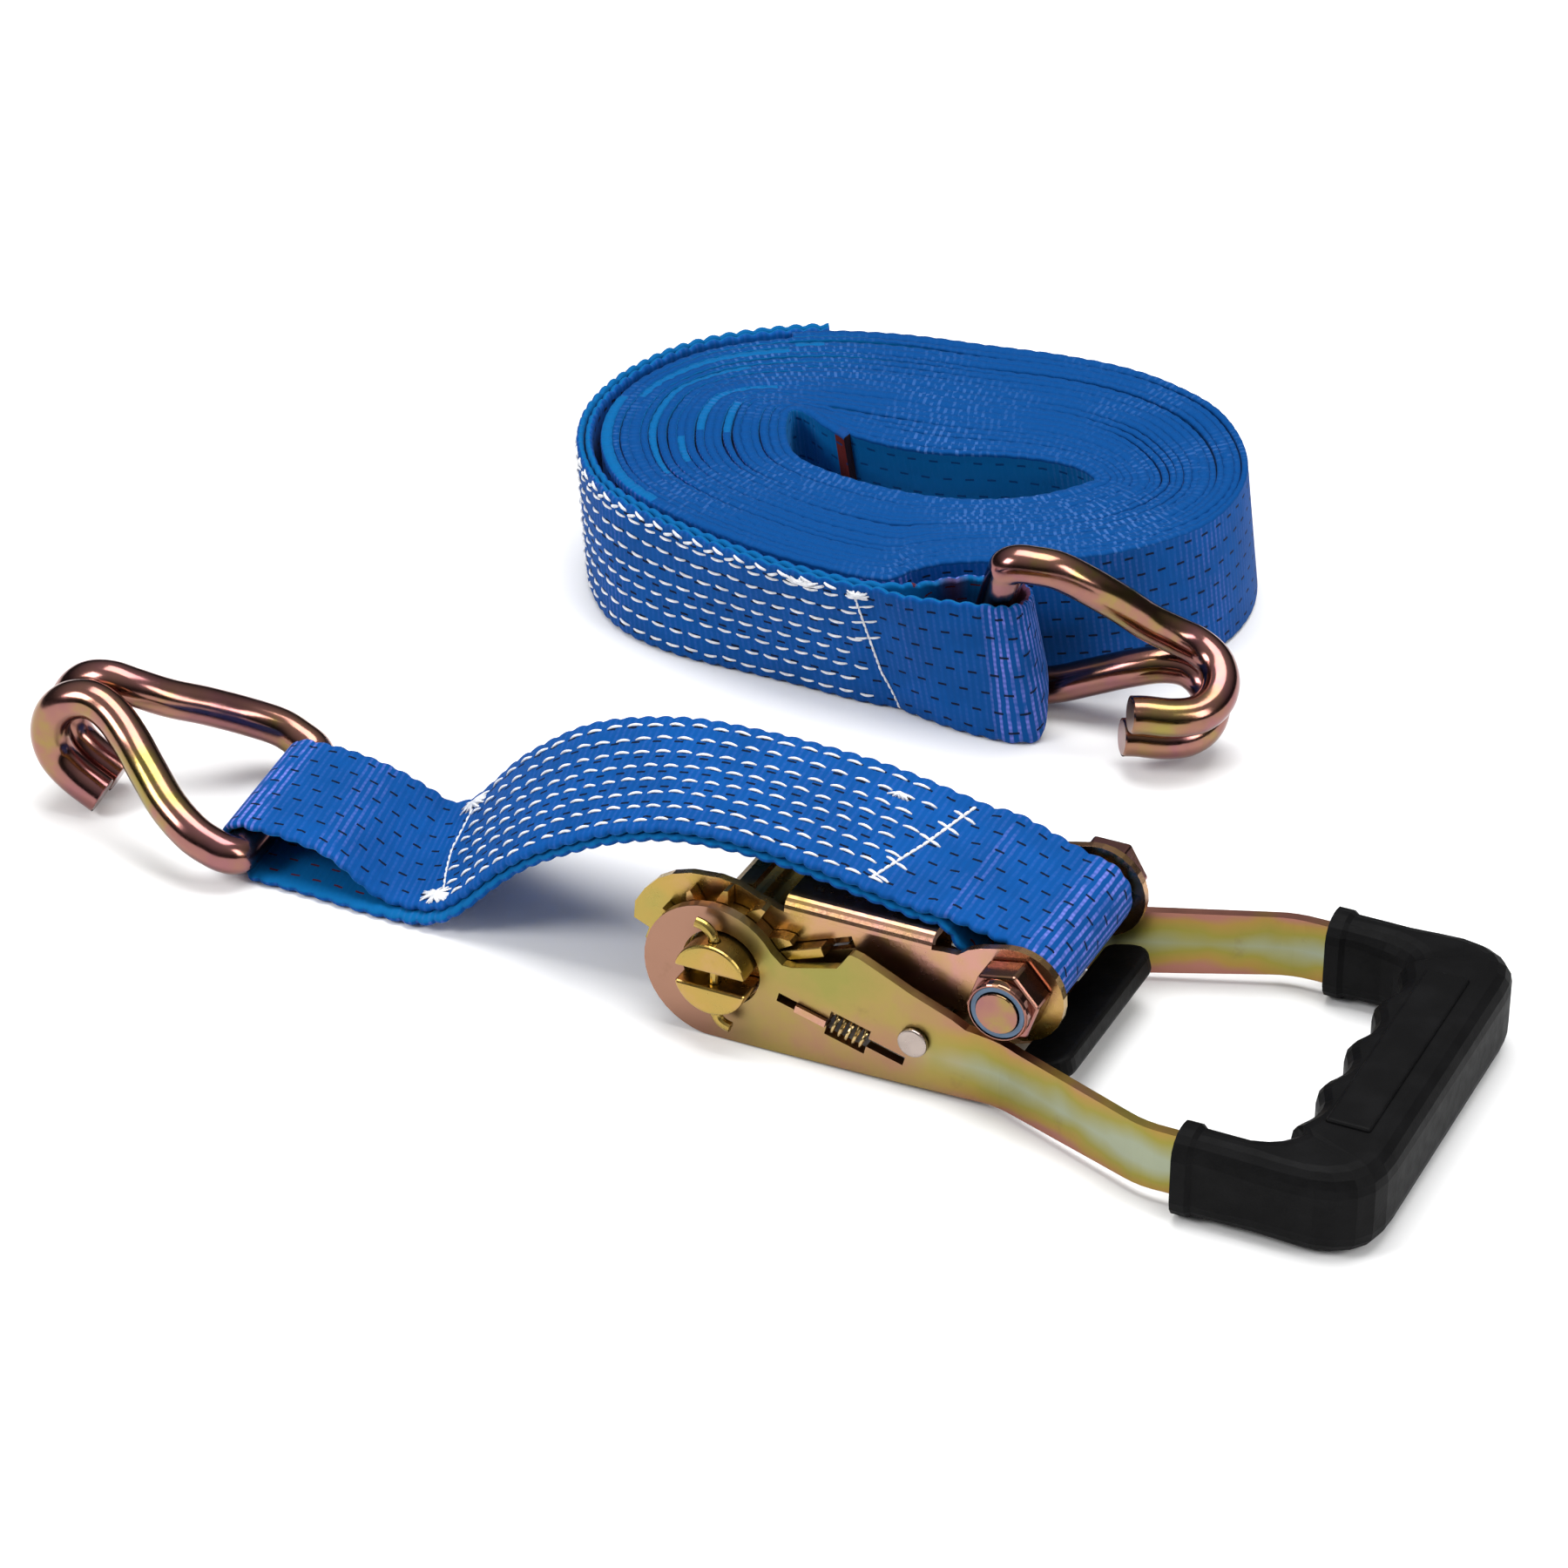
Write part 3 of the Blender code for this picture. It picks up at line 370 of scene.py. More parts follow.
# ---------------------------------------------------------------- material helpers
class Graph:
    """Small helper round one material's nodes."""

    def __init__(self, name):
        self.mat = bpy.data.materials.new(name)
        self.mat.use_nodes = True
        self.tree = self.mat.node_tree
        self.shader = self.tree.nodes["Principled BSDF"]

    def link(self, source, socket):
        if isinstance(source, (int, float)):
            socket.default_value = source
        else:
            self.tree.links.new(source, socket)

    def math(self, op, a, b=None, c=None):
        node = self.tree.nodes.new("ShaderNodeMath")
        node.operation = op
        for value, socket in zip((a, b, c), node.inputs):
            if value is not None:
                self.link(value, socket)
        return node.outputs[0]

    def mix(self, factor, a, b):
        node = self.tree.nodes.new("ShaderNodeMix")
        node.data_type = "RGBA"
        self.link(factor, node.inputs["Factor"])
        for value, socket in ((a, node.inputs[6]), (b, node.inputs[7])):
            if isinstance(value, tuple):
                socket.default_value = (*value, 1)
            else:
                self.tree.links.new(value, socket)
        return node.outputs[2]

    def times(self, *factors):
        """Product of several values."""
        product = factors[0]
        for factor in factors[1:]:
            product = self.math("MULTIPLY", product, factor)
        return product

    def wave(self, length, pitch):
        """0 to 1 wave of a length, one bump per pitch."""
        wave = self.math("SINE", self.math("MULTIPLY", length, 2 * math.pi / pitch))
        return self.math("MULTIPLY_ADD", wave, 0.5, 0.5)

    def noise(self, scale, detail=2.0, rough=0.5):
        node = self.tree.nodes.new("ShaderNodeTexNoise")
        node.inputs["Scale"].default_value = scale
        node.inputs["Detail"].default_value = detail
        node.inputs["Roughness"].default_value = rough
        self.tree.links.new(self.coords(), node.inputs["Vector"])
        return node.outputs[0]

    def coords(self):
        if not hasattr(self, "_coords"):
            self._coords = self.tree.nodes.new("ShaderNodeTexCoord").outputs["Object"]
        return self._coords

    def separate(self, vector):
        node = self.tree.nodes.new("ShaderNodeSeparateXYZ")
        self.tree.links.new(vector, node.inputs[0])
        return node.outputs

    def ramp(self, factor, stops):
        node = self.tree.nodes.new("ShaderNodeValToRGB")
        ramp = node.color_ramp
        while len(ramp.elements) < len(stops):
            ramp.elements.new(0.5)
        for element, (place, colour) in zip(ramp.elements, stops):
            element.position = place
            element.color = (*colour, 1)
        self.link(factor, node.inputs["Fac"])
        return node.outputs["Color"]

    def bump(self, height, strength, distance):
        node = self.tree.nodes.new("ShaderNodeBump")
        node.inputs["Strength"].default_value = strength
        node.inputs["Distance"].default_value = distance
        self.tree.links.new(height, node.inputs["Height"])
        self.tree.links.new(node.outputs["Normal"], self.shader.inputs["Normal"])

    def smooth(self, value, low, high):
        node = self.tree.nodes.new("ShaderNodeMapRange")
        node.interpolation_type = "SMOOTHSTEP"
        self.link(value, node.inputs["Value"])
        node.inputs["From Min"].default_value = low
        node.inputs["From Max"].default_value = high
        return node.outputs["Result"]


# the third of these colours is a painted highlight: the lavender shine that ribs show on bends
BLUE, DEEP_BLUE, RIB_HIGHLIGHT_BLUE = (0.0004, 0.058, 0.238), (0.0, 0.028, 0.14), (0.17, 0.19, 0.62)
BACK_BLUE, RIM_BLUE, SPECK_BLUE = (0.0, 0.105, 0.290), (0.0002, 0.050, 0.205), (0.07, 0.17, 0.45)
# dull red of the roll's raw inner end, also used as a painted shade inside the strap's tight loops
DULL_RED_AND_LOOP_SHADE = (0.115, 0.016, 0.014)
YARN_BLACK, YARN_BLUE, YARN_RED = (0.002, 0.004, 0.010), (0.0, 0.035, 0.13), (0.085, 0.008, 0.010)
# metres from the webbing's middle to where its face ends and where its rim starts
FACE_HALF, RIM_HALF = 0.0225, 0.0236


def webbing_material(name, rolled):
    """Blue webbing from its UV lengths in metres: ribs with a painted highlight on bends, and rows of
    marker yarn.
    """
    g = Graph(name)
    uv = g.tree.nodes.new("ShaderNodeUVMap")
    uv.uv_map = "Length"
    u, v_all, _ = g.separate(uv.outputs[0])
    back = g.math("GREATER_THAN", v_all, 0.5)
    v = g.math("SUBTRACT", v_all, back)
    across = g.math("ABSOLUTE", v)
    attribute = g.tree.nodes.new("ShaderNodeAttribute")
    attribute.attribute_name = "bend"
    bend = attribute.outputs["Fac"]
    bent = g.math("MAXIMUM", bend, 0.0)

    weft = g.wave(g.math("ADD", u, g.times(g.noise(300, 1), 0.0005)), RIB_PITCH)
    warp = g.wave(v, CORD_PITCH)
    ribs = g.times(g.smooth(weft, 0.45, 0.9), g.math("MULTIPLY_ADD", warp, 0.45, 0.55))

    # marker yarn: rows along the webbing, every second row shifted by half a dash
    row = g.math("DIVIDE", v, ROW_PITCH)
    number = g.math("FLOOR", g.math("ADD", row, 0.5))
    off = g.math("ABSOLUTE", g.math("SUBTRACT", row, number))
    shift = g.math("ADD", g.times(g.math("ABSOLUTE", g.math("MODULO", number, 2.0)), 0.5), 20)
    along = g.math("FRACT", g.math("ADD", g.math("DIVIDE", u, DASH_PITCH), shift))
    in_row = g.math("LESS_THAN", g.math("ADD", off, g.times(g.noise(900, 1), 0.03)), 0.075)
    in_dash = g.math("LESS_THAN", g.math("ABSOLUTE", g.math("SUBTRACT", along, 0.5)), 0.2)
    on_face = g.math("LESS_THAN", across, FACE_HALF)
    dash = g.times(in_row, in_dash, on_face)

    colour = g.mix(g.smooth(g.noise(60, 3), 0.3, 0.75), BLUE, tuple(c * 1.22 for c in BLUE))
    colour = g.mix(g.times(g.math("SUBTRACT", 1.0, weft), 0.14), colour, DEEP_BLUE)
    # painted highlight: the ribs turn lavender where the webbing bends
    shine = g.times(g.math("MULTIPLY_ADD", bent, 0.85, 0.07), g.smooth(g.noise(130, 3), 0.25, 0.60))
    colour = g.mix(g.times(ribs, shine), colour, RIB_HIGHLIGHT_BLUE)
    colour = g.mix(g.times(back, 0.85), colour, BACK_BLUE)
    if rolled:
        # the raw inner end is dull red, and the turns' edges have broken rows of pale specks
        colour = g.mix(g.math("LESS_THAN", bend, -0.5), colour, DULL_RED_AND_LOOP_SHADE)
        rim = g.math("GREATER_THAN", across, RIM_HALF)
        colour = g.mix(g.times(rim, 0.96), colour, RIM_BLUE)
        speck = g.math("LESS_THAN", g.math("FRACT", g.math("DIVIDE", u, 0.0024)), 0.40)
        speck = g.times(speck, g.smooth(g.noise(20, 2), 0.40, 0.75), g.smooth(g.noise(420, 1), 0.40, 0.58))
        colour = g.mix(g.times(rim, speck, 0.6), colour, SPECK_BLUE)
    else:
        # painted shade: the inside of a tight loop is painted a dull dark red
        loop_shade = g.times(back, g.smooth(bent, 0.45, 0.95), on_face)
        colour = g.mix(g.times(loop_shade, 0.8), colour, DULL_RED_AND_LOOP_SHADE)
    colour = g.mix(g.times(dash, 0.93), colour, g.mix(back, YARN_BLACK, YARN_BLUE if rolled else YARN_RED))
    g.link(colour, g.shader.inputs["Base Color"])
    g.link(g.math("MULTIPLY_ADD", weft, 0.10, 0.72), g.shader.inputs["Roughness"])
    g.shader.inputs["Sheen Weight"].default_value = 0.02
    g.shader.inputs["Sheen Roughness"].default_value = 0.4
    g.shader.inputs["Specular IOR Level"].default_value = 0.08
    cushion = g.math("ABSOLUTE", g.math("SINE", g.times(v, math.pi / ROW_PITCH)))
    height = g.math("ADD", g.times(ribs, 0.30), g.times(cushion, 0.5))
    g.bump(g.math("SUBTRACT", height, g.times(dash, 0.35)), 0.4, 0.0003)
    return g.mat


def thread_material():
    g = Graph("white_thread")
    colour = g.mix(g.smooth(g.noise(700, 2), 0.3, 0.7), (0.58, 0.60, 0.64), (0.80, 0.81, 0.83))
    g.link(colour, g.shader.inputs["Base Color"])
    g.shader.inputs["Roughness"].default_value = 0.7
    g.bump(g.noise(3000, 1), 0.5, 0.0002)
    return g.mat


ZINC_PLATE = [(0.32, (0.38, 0.25, 0.09)), (0.42, (0.44, 0.225, 0.180)), (0.51, (0.42, 0.245, 0.12)),
              (0.60, (0.37, 0.245, 0.065)), (0.74, (0.29, 0.245, 0.065))]
ZINC_WIRE = [(0.36, (0.26, 0.195, 0.055)), (0.43, (0.28, 0.135, 0.100)), (0.53, (0.25, 0.105, 0.108)),
             (0.63, (0.26, 0.135, 0.080)), (0.74, (0.25, 0.200, 0.055))]
ARM_PLATE = [(0.38, (0.30, 0.165, 0.095)), (0.50, (0.30, 0.220, 0.070)), (0.62, (0.25, 0.225, 0.060))]
# from the middle of an arm to its edges: grey-teal, olive, yellow, pink
ARM_STRIP = [(0.0, (0.25, 0.275, 0.195)), (0.24, (0.235, 0.235, 0.110)), (0.46, (0.235, 0.205, 0.042)),
             (0.70, (0.30, 0.190, 0.050)), (0.88, (0.32, 0.140, 0.105))]
ARM_PINK = (0.29, 0.155, 0.105)
ARM_MIDDLE, STAIN = 0.0125, (0.15, 0.09, 0.05)
# how strongly the fine noise roughens each finish, its least roughness, and its bump
FINISH = {"plate": (0.16, 0.18, 0.12), "arm": (0.20, 0.24, 0.12), "wire": (0.22, 0.06, 0.05)}


def plated_material(name, mode):
    """Yellow passivated zinc: gold, pink and green in slow patches, with brown stains."""
    g = Graph(name)
    x, _, z = g.separate(g.coords())
    patch = g.noise(22, 3, 0.55)
    fine = g.noise(140, 4, 0.6)
    value = g.math("ADD", g.times(patch, 0.8), g.times(fine, 0.22))
    if mode == "arm":
        from_middle = g.math("ABSOLUTE", g.math("SUBTRACT", z, ARM_MIDDLE))
        from_middle = g.math("ADD", from_middle, g.times(g.math("SUBTRACT", patch, 0.5), 0.022))
        strip = g.ramp(g.times(from_middle, 85.0), ARM_STRIP)
        plate = g.mix(g.smooth(x, 0.038, 0.014), g.ramp(value, ARM_PLATE), ARM_PINK)
        colour = g.mix(g.smooth(x, 0.105, 0.070), strip, plate)
    else:
        colour = g.ramp(value, ZINC_WIRE if mode == "wire" else ZINC_PLATE)
    roughened, least_rough, bump = FINISH[mode]
    stain = g.smooth(g.noise(75, 5, 0.65), 0.60, 0.75)
    colour = g.mix(g.times(stain, 0.30), colour, STAIN)
    g.link(colour, g.shader.inputs["Base Color"])
    g.shader.inputs["Metallic"].default_value = 1.0
    g.link(g.math("MULTIPLY_ADD", fine, roughened, least_rough), g.shader.inputs["Roughness"])
    g.bump(g.noise(520, 3), bump, 0.0003)
    return g.mat


def rubber_material(name, base, rough, grain):
    """Black rubber, a little paler in patches."""
    g = Graph(name)
    colour = g.mix(g.smooth(g.noise(90, 3), 0.35, 0.75), base, tuple(c * 1.9 for c in base))
    g.link(colour, g.shader.inputs["Base Color"])
    g.link(g.math("MULTIPLY_ADD", g.noise(260, 3), 0.18, rough), g.shader.inputs["Roughness"])
    g.shader.inputs["Specular IOR Level"].default_value = 0.07
    g.bump(g.noise(grain, 2), 0.18, 0.0003)
    return g.mat


def plain_material(name, colour, rough, metallic=0.0):
    """One colour, slightly uneven in tone and gloss."""
    g = Graph(name)
    shade = g.mix(g.smooth(g.noise(120, 2), 0.3, 0.7), colour, tuple(c * 0.75 for c in colour))
    g.link(shade, g.shader.inputs["Base Color"])
    g.shader.inputs["Metallic"].default_value = metallic
    g.link(g.math("MULTIPLY_ADD", g.noise(900, 2), 0.15, rough), g.shader.inputs["Roughness"])
    return g.mat


STRAP = webbing_material("blue_webbing_fine", False)
ROLLED = webbing_material("blue_webbing_rolled", True)
THREAD = thread_material()
PLATE, ARM, WIRE = (plated_material("zinc_" + mode, mode) for mode in ("plate", "arm", "wire"))
RUBBER = rubber_material("rubber_black", (0.0026, 0.0026, 0.0028), 0.46, 1500)
COATING = rubber_material("tab_coating", (0.0026, 0.0025, 0.0025), 0.38, 700)
NYLON = plain_material("nylon_ring", (0.07, 0.13, 0.22), 0.35)
STEEL = plain_material("spring_wire", (0.50, 0.36, 0.16), 0.18, 1.0)
ROD = plain_material("zinc_rod", (0.37, 0.31, 0.28), 0.22, 1.0)


# ---------------------------------------------------------------- short strap
def short_strap_edge(mid, lift, bar):
    """Closed centre line (x, z) of the looped strap at one edge, from the bolt over the top to the hook."""
    half = WEB / 2 + 0.15
    merged = resample(spline(mid, 8), 34)
    upper, lower = offset(merged, -half), offset(merged, half)
    big, small = SPACER_R + GAP + WEB / 2, HOOK_R + GAP + WEB / 2
    right = arc(BOLT_X, BOLT_Z, big, -137, 93, 14)
    left = arc(bar[0], bar[1], small, 92, 268, 12)
    to_top = [(74, 46.2 + lift * 0.3), (66, 47.8 + lift * 0.7), (58.5, 48.9 + lift)]
    from_top = [(bar[0] + 42, merged[-1][1] + 2.8), (bar[0] + 28, bar[1] + 5.0),
                (bar[0] + 13, bar[1] + 7.3)]
    back = [(bar[0] + 14, 1.55), (bar[0] + 28, 1.55 + lift * 0.35), (bar[0] + 42, merged[-1][1] - 1.6)]
    rising = [(59.4, 45.6 + lift * 0.9), (62.6, 42.4 + lift * 0.6), (68.5, 35.6)]

    def part(points, count):
        return resample(spline(points, 6), count)
    top_in = part([right[-1]] + to_top + [upper[0]], 10)[1:-1]
    top_out = part([upper[-1]] + from_top + [left[0]], 14)[1:-1]
    low_in = part([left[-1]] + back + [lower[-1]], 14)[1:-1]
    low_out = part([lower[0]] + rising + [right[0]], 12)[1:-1]
    return right + top_in + upper + top_out + left + low_in + lower[::-1] + low_out


def short_strap():
    near_mid = [(52, 47.4), (38.5, 49.3), (23, 51.6), (8, 53.0), (-7.7, 53.0), (-23.4, 51.0), (-39.3, 45.6),
                (-52.8, 38.8), (-66.5, 30.4), (-77.5, 21.0), (-86.2, 12.0), (-93.5, 6.0), (-101, 3.5),
                (-108, 2.9)]
    far_mid = [(52, 50.6), (41.4, 52.4), (28.4, 54.6), (15.4, 56.0), (-3, 56.5), (-19, 56.2), (-37.7, 54.8),
               (-54, 51.0), (-67.8, 46.0), (-79, 39.4), (-93.5, 27.6), (-104, 15.6), (-111.5, 8.2),
               (-119, 5.6)]
    reach = WEB_HALF * math.tan(math.radians(HOOK_A_YAW))
    near = short_strap_edge(near_mid, 0.0, (HOOK_A[0] + reach, HOOK_A[2]))
    far = short_strap_edge(far_mid, 3.2, (HOOK_A[0] - reach, HOOK_A[2]))
    underside = 82                              # first station past the bend round the hook
    edges = []
    for i, (p, q) in enumerate(zip(near, far)):
        ends = []
        for (x, z), f in ((p, 0), (q, 1)):
            left = clamp((60.0 - x) / 180.0)
            wide = WEB_HALF - 0.3 + 0.8 * clamp((x + 140) / 20.0)
            y = -wide + 2 * wide * f + HOOK_A[1] * left
            if i >= underside:
                y -= 3.2 * clamp((-70.0 - x) / 30.0) * (1 - f)
            ends += [x, y, z]
        edges.append(tuple(ends))
    band = Band(edges, 0.95, True)
    strap = webbing("short_strap_webbing", band, lambda i: WEB - 0.1, STRAP, "short_strap")
    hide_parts("short_strap")

    def u_at(x):
        return next(band.u[i] for i in range(20, band.count) if band.mid[i].x < x)
    start, end = u_at(43), u_at(-103)
    sewing = Sewing(band, WEB / 2)
    for k in range(8):
        v = -0.86 + 0.243 * k
        sewing.row(start + 2.5 + (k % 2) * 1.5, end - 1.5, v, (k % 2) * STITCH_PITCH / 2, drift=-0.02)
    sewing.line([(start + 6.0, -0.86), (start - 1.0, 0.0), (start - 6.0, 0.86)], 2.4, 0.55)
    for v in (-0.80, -0.50, 0.05, 0.35, 0.62):
        middle = start - 7.0 * v
        sewing.line([(middle - 4.5, v - 0.03), (middle + 2.5, v + 0.05)], 2.4, 0.55)
    sewing.tack(start + 13, 0.55, 0.10, 8, 14)
    for v in (-0.82, 0.78):
        sewing.tack(end - 1, v, 0.24, 12, 34)
    sewing.line([(end - 3, -0.74), (end - 1, -0.45), (end + 1, 0.0), (end - 1, 0.70)], 2.4)
    stitches = sewing.make("short_strap_stitching", "short_strap")


# ---------------------------------------------------------------- rolled strap
def roll_outline():
    """Outer edge of the wound strap at its top, counter-clockwise."""
    pts = [(-33, 134.4), (-26.5, 143.8), (-17.8, 153.5), (4, 166), (23, 179), (37, 197), (44, 216),
           (43, 240), (34, 262), (18, 281), (-1, 291), (-20, 295), (-42, 294), (-66, 290), (-92, 286),
           (-116, 278),
           (-136, 264), (-150, 247), (-157, 226), (-158, 206), (-154, 188), (-145, 171), (-131, 156),
           (-112, 146.5), (-90, 139.5), (-62, 134)]
    return spline(pts, 4, True)


def hole_outline(count):
    """Edge of the crescent-shaped middle hole at the top."""
    pts = [(-104, 221), (-96, 203), (-84, 192), (-60, 187.5), (-34, 190), (-14, 201), (-2, 216), (-1, 222),
           (-12, 226), (-30, 222), (-52, 213), (-72, 212), (-88, 218), (-98, 224)]
    loop = spline(pts, 8, True)
    return resample(loop + [loop[0]], count + 1)[:-1]


def foot(point):
    """Floor end of the webbing whose top edge is at this point: the roll leans to the near side."""
    x, y = point
    t = clamp((x + 128) / 70.0)
    right = clamp((x + 10) / 50.0)
    return x - LEAN_X, y - LEAN_Y * (0.1 + 0.9 * t * t * (3 - 2 * t)) * (1 - 0.35 * right)


def rolled_strap():
    """One long ribbon wound from the outside to the hole, each turn just clear of the next."""
    outer = roll_outline()
    count = len(outer)
    inner = hole_outline(count)
    best = min(range(count), key=lambda k: sum(math.dist(outer[i], inner[(i + k) % count])
                                               for i in range(0, count, 5)))
    inner = [inner[(i + best) % count] for i in range(count)]
    first = 62                                  # the wound strap's outer end, under the sewn end
    edges, pitches = [], []
    for i in range(TURNS * count + 1):
        k = (first - i) % count
        f = (i / count + 0.5) / (TURNS + 0.5)
        uneven = 0.0045 * math.sin(2 * math.pi * i / count * 1.7) + 0.002 * math.sin(i * 0.9)
        f = f + uneven * math.sin(math.pi * f)
        x = outer[k][0] + (inner[k][0] - outer[k][0]) * f
        y = outer[k][1] + (inner[k][1] - outer[k][1]) * f
        pitches.append(math.dist(outer[k], inner[k]) / (TURNS + 0.5))
        turn = i // count
        top = ROLL_HEIGHT + 0.22 * math.sin(turn * 2.4 + 2 * math.pi * i / count)
        low_x, low_y = foot((x, y))
        edges.append((low_x, low_y, 0.7, x, y, top))
    band = Band(edges, 1.2, False)

    def thick(i):
        k = int(clamp(i / band.count * len(pitches), 0, len(pitches) - 1))
        return min(ROLL_WEB_MAX, pitches[k] * 0.995)
    roll = webbing("rolled_webbing", band, thick, ROLLED, "rolled_strap", ROLL_COLUMNS, ROLL_SCALLOP, True)
    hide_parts("strap_roll")


def end_loop():
    """Sewn double end of the long strap round the roll's front, opening to a loop on the hook's bar."""
    outer = roll_outline()
    front = outer[60:] + [outer[0]]
    clear_of_roll = offset(front, -(2 * GAP + WEB / 2))
    doubled = offset(front, -(3 * GAP + 1.5 * WEB))[::-1]

    def part(points, count):
        return resample(spline(points, 6), count)[1:-1]
    fold_top = arc(3.6, 140.9, 8.5, 114, -86, 15)
    fold_low = resample(spline([(-9, 160.4), (-1, 161.2), (6, 159.8), (11.5, 156), (14.8, 150.5),
                                (15.4, 145.5), (13, 141.4), (7, 139.4)], 6), 16)
    back_low, front_low = [foot(p) for p in clear_of_roll], [foot(p) for p in doubled]
    top = (clear_of_roll + part([clear_of_roll[-1], (-22, 136.0), (-9, 145.6), fold_top[0]], 14) + fold_top
           + part([fold_top[-1], (-9, 129.6), (-21, 128.2), doubled[0]], 14) + doubled)
    bottom = (back_low + part([back_low[-1], (-26, 149.0), (-17.5, 156.9), fold_low[0]], 14) + fold_low
              + part([fold_low[-1], (-6, 139.4), (-20, 141.6), front_low[0]], 14) + front_low)
    n1, n2 = len(clear_of_roll), len(clear_of_roll) + 12
    edges = []
    for i in range(len(top)):
        if i < n2:
            ride = clamp((i - n1) / 6.0)
        else:
            ride = clamp((n2 + 11.5 - i) / 4.5)
        near_fold = clamp((top[i][0] + 33) / 26.0)
        z0 = 0.7 + 19.5 * ride * ride * (3 - 2 * ride)
        edges.append((*bottom[i], z0, *top[i], ROLL_HEIGHT + 1.3 * near_fold - 0.3))
    band = Band(edges, 0.95, False)
    loop = webbing("sewn_end_webbing", band, lambda i: WEB - 0.1, STRAP, "rolled_strap")
    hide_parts("strap_end_loop")
    outer_start = band.length * 0.5

    def u_at(x):
        return next(band.u[i] for i in range(band.count) if band.u[i] > outer_start and band.mid[i].x < x)
    start = u_at(-34)
    end = band.length - 2.0
    sewing = Sewing(band, WEB / 2)
    for k in range(8):
        v = -0.84 + 0.236 * k
        sewing.row(start + 3.0 + (k % 2) * 1.5, end, v, (k % 2) * STITCH_PITCH / 2)
    # zigzag over the top edge, tacks at the top and a slanting closing line
    u = start + 8
    side = 1
    while u < end:
        sewing.stitch(u, 0.92, u + 3.6, 0.92 + 0.06 * side, 0.58, 0.4, 4)
        u += 3.9
        side = -side
    sewing.tack(start + 2, 0.88, 0.14, 8, 26)
    sewing.tack(start + 19, 0.90, 0.10, 12, 22)
    sewing.line([(start + 2.5, 0.86), (start + 1.0, 0.3), (start - 1.0, -0.4), (start - 5.5, -0.97)], 2.4)
    for v in (0.70, 0.45, 0.18):
        sewing.line([(start + 5, v - 0.05), (start - 3, v + 0.03)], 2.6, 0.45)
    stitches = sewing.make("sewn_end_stitching", "rolled_strap")


# ---------------------------------------------------------------- hooks
def hook_path(tip):
    """Half of the bent wire: away from the bar, square to the hook's plane, sideways."""
    h = HOOK_HALF
    pts = [(0, 0, 0), (0, 0, h * 0.4), (0, 0, 25.2), (0.4, 0.1, 28.2), (2.7, 1.2, 30.4),
           (6.6, 3.0, h + 0.3),
           (13, 6.4, h), (22, 11.0, 26.6), (31, 16.6, 19.6), (39, 21.3, 12.9), (47, 26.0, 8.0),
           (54, 28.4, 6.2), (61, 27.0, 6.1), (66.3, 22.0, 6.1), (68.4, 15.0, 6.1), (66.8, 8.0, 6.1),
           (61.8, 2.4, 6.1), (55, -2.2, 6.1), (*tip, 6.1)]
    half = spline(pts, 8)
    return [(s, q, -w) for s, q, w in half[::-1]] + half[1:]


def wire_rings(pts, radius, sides):
    """Rings of points round a path, turned as little as possible from one to the next."""
    rings, turned = [], None
    n = len(pts)
    for i in range(n):
        t = (pts[min(i + 1, n - 1)] - pts[max(i - 1, 0)]).normalized()
        if turned is None:
            turned = t.orthogonal().normalized()
        turned = (turned - t * turned.dot(t)).normalized()
        other = t.cross(turned)
        rings.append([pts[i] + (turned * math.cos(a) + other * math.sin(a)) * radius
                      for a in (2 * math.pi * k / sides for k in range(sides))])
    return rings


def wire_piece(name, rings, mat, node, body):
    """Closed mesh over the rings, standing for one CAD node."""
    sides, m = len(rings[0]), len(rings)
    faces = [[i * sides + k, i * sides + (k + 1) % sides, (i + 1) * sides + (k + 1) % sides,
              (i + 1) * sides + k] for i in range(m - 1) for k in range(sides)]
    faces += [list(range(sides))[::-1], [(m - 1) * sides + k for k in range(sides)]]
    obj = build(name, [world(*p) for ring in rings for p in ring], faces, mat)
    obj.data.set_sharp_from_angle(angle=math.radians(30))
    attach(obj, body)
    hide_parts(node)
    return obj


def hook(name, node, body, at, away, square, side, tip):
    """Smooth bent wire with flat, slightly chamfered cut ends."""
    pts = [Vector(tuple(at[i] + away[i] * s + square[i] * q + side[i] * w for i in range(3)))
           for s, q, w in hook_path(tip)]
    rings = wire_rings(pts, HOOK_R - 0.02, HOOK_SIDES)
    ends = []
    for ring, centre, inward in ((rings[0], pts[0], pts[1]), (rings[-1], pts[-1], pts[-2])):
        ends.append([centre + (p - centre) * (1 - HOOK_CHAMFER / HOOK_R) for p in ring])
        ring[:] = [p + (inward - centre).normalized() * HOOK_CHAMFER for p in ring]
    wire_piece(name, [ends[0]] + rings + [ends[1]], WIRE, node, body)
    return name


# name, CAD node, body, joint, angle and y of its line through the axle, the distances along that line
# where it starts and ends, coil and wire radius, and how far the joint shortens it
COILS = (
    ("lock_pawl_coil", "lock_pawl_spring", "frame", "lock_pawl_slide", LOCK_ANGLE, 0.0,
     35.3, 46.3, 2.0, 0.4, 6.5),
    ("drive_coil_near", "drive_spring_near", "handle", "drive_pawl_pull", PULL_ANGLE, -35.6,
     32.9, 44.6, 2.6, 0.5, 6.0),
    ("drive_coil_far", "drive_spring_far", "handle", "drive_pawl_pull", PULL_ANGLE, 35.6,
     32.9, 44.6, 2.6, 0.5, 6.0))
COIL_TURNS, COIL_STEPS = 5, 100


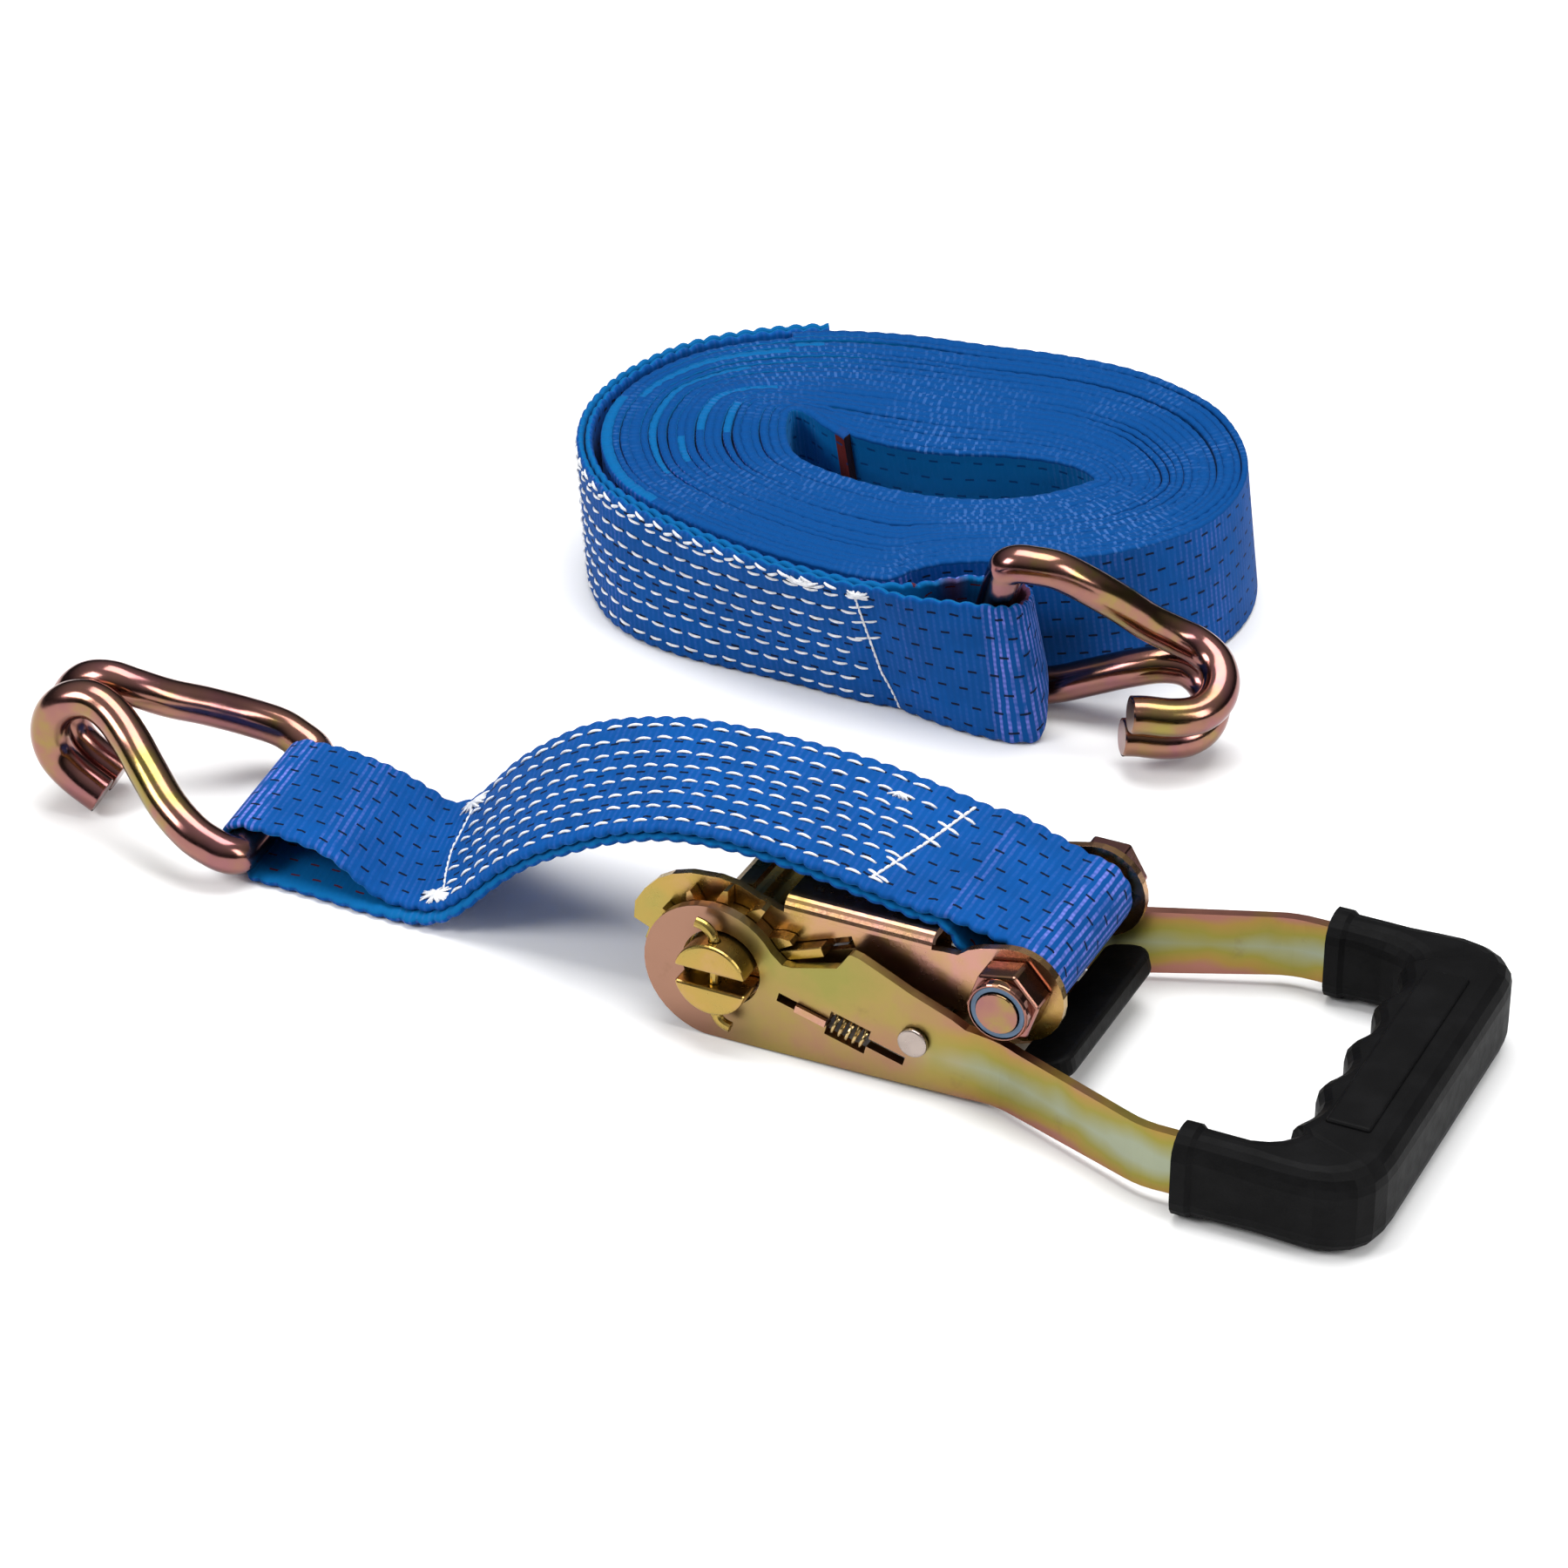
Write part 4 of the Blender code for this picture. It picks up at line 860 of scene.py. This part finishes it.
def springs():
    """Coil springs laid along the pawls' slide lines, standing for the CAD springs."""
    for name, node, body, joint, angle, y, s0, s1, radius, wire, travel in COILS:
        along = Vector((math.cos(math.radians(angle)), 0, math.sin(math.radians(angle))))
        up = Vector((-along.z, 0, along.x))
        axle = Vector((0, y, MANDREL_Z))
        pts = []
        for i in range(COIL_STEPS + 1):
            a = 2 * math.pi * COIL_TURNS * i / COIL_STEPS
            pts.append(axle + along * (s0 + wire + (s1 - s0 - 2 * wire) * i / COIL_STEPS)
                       + up * (radius * math.cos(a)) + Vector((0, radius * math.sin(a), 0)))
        coil = wire_piece(name, wire_rings(pts, wire, 8), STEEL, node, body)
        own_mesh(coil)


def both_hooks():
    a = math.radians(HOOK_A_YAW)
    first = hook("short_strap_wire_hook", "hook_short_strap", "short_hook", HOOK_A,
                 (-math.cos(a), -math.sin(a), 0), (0, 0, 1), (-math.sin(a), math.cos(a), 0), TIP_A)
    yaw, droop, tilt = (math.radians(v) for v in (HOOK_B_YAW, HOOK_B_DROOP, HOOK_B_TILT))
    away = Vector((math.cos(yaw) * math.cos(droop), math.sin(yaw) * math.cos(droop), -math.sin(droop)))
    upright = Vector((math.cos(yaw) * math.sin(droop), math.sin(yaw) * math.sin(droop), math.cos(droop)))
    side = upright * math.cos(tilt) + upright.cross(away) * math.sin(tilt)
    second = hook("long_strap_wire_hook", "hook_long_strap", "long_hook", HOOK_B,
                  away, side.cross(away), side, TIP_B)
    return [first, second]


# ---------------------------------------------------------------- stage
def studio():
    mesh = bpy.data.meshes.new("floor")
    size = 6.0
    corners = [(-size, -size, 0), (size, -size, 0), (size, size, 0), (-size, size, 0)]
    mesh.from_pydata(corners, [], [(0, 1, 2, 3)])
    floor = bpy.data.objects.new("floor", mesh)
    bpy.context.scene.collection.objects.link(floor)
    floor.location.z = -0.0003
    pale = bpy.data.materials.new("pale_floor")
    pale.use_nodes = True
    shader = pale.node_tree.nodes["Principled BSDF"]
    shader.inputs["Base Color"].default_value = (0.93, 0.93, 0.93, 1)
    shader.inputs["Roughness"].default_value = 0.9
    shader.inputs["Specular IOR Level"].default_value = 0.1
    mesh.materials.append(pale)

    world_data = bpy.data.worlds.new("studio")
    bpy.context.scene.world = world_data
    world_data.use_nodes = True
    tree = world_data.node_tree
    coords = tree.nodes.new("ShaderNodeTexCoord")
    split = tree.nodes.new("ShaderNodeSeparateXYZ")
    ramp = tree.nodes.new("ShaderNodeValToRGB")
    tree.links.new(coords.outputs["Generated"], split.inputs[0])
    tree.links.new(split.outputs["Z"], ramp.inputs["Fac"])
    tree.links.new(ramp.outputs["Color"], tree.nodes["Background"].inputs["Color"])
    ramp.color_ramp.elements[0].position = 0.25
    ramp.color_ramp.elements[0].color = (0.05, 0.05, 0.055, 1)
    ramp.color_ramp.elements[1].position = 0.85
    ramp.color_ramp.elements[1].color = (1, 1, 1, 1)
    tree.nodes["Background"].inputs["Strength"].default_value = 0.55
    bpy.context.scene.view_settings.view_transform = "Standard"

    def softbox(name, place, aim, size, power):
        data = bpy.data.lights.new(name, "AREA")
        data.shape = "RECTANGLE"
        data.size, data.size_y = size
        data.energy = power
        obj = bpy.data.objects.new(name, data)
        obj.location = place
        obj.rotation_euler = (Vector(aim) - Vector(place)).to_track_quat("-Z", "Y").to_euler()
        bpy.context.scene.collection.objects.link(obj)
    softbox("overhead", (0.0, 0.15, 1.5), (0, 0, 0), (1.3, 0.9), 24)
    softbox("key", (-0.9, -1.1, 1.0), (0, 0, 0), (0.6, 0.6), 15)
    softbox("side", (1.3, -0.3, 0.8), (0, 0, 0), (0.4, 0.8), 9)

    camera_data = bpy.data.cameras.new("camera")
    camera_data.lens = CAMERA_LENS
    camera_data.sensor_width = 36
    camera = bpy.data.objects.new("camera", camera_data)
    camera.location = CAMERA_PLACE
    camera.rotation_euler = Vector(CAMERA_LINE).to_track_quat("-Z", "Y").to_euler()
    bpy.context.scene.collection.objects.link(camera)
    bpy.context.scene.camera = camera


# ---------------------------------------------------------------- finishes on the CAD pieces
def paint(mat, *names):
    for name in names:
        NODES[name].data.materials.clear()
        NODES[name].data.materials.append(mat)


paint(PLATE, "frame_channel", "guide_strip", "bolt_spacer", "spring_seat", "mandrel_half_upper",
      "mandrel_half_lower", "ratchet_wheel_near", "ratchet_wheel_far", "cotter_pin_near", "cotter_pin_far",
      "lock_pawl", "drive_pawl_slider", "grip_core_rod")
paint(WIRE, "frame_bolt", "lock_nut")
paint(ROD, "handle_cross_rod")
paint(ARM, "handle_arm_near", "handle_arm_far")
paint(RUBBER, "rubber_grip")
paint(COATING, "finger_tab_cover")
paint(NYLON, "nut_nylon_ring")

studio()
hook_pieces = both_hooks()
springs()
short_strap()
rolled_strap()
end_loop()
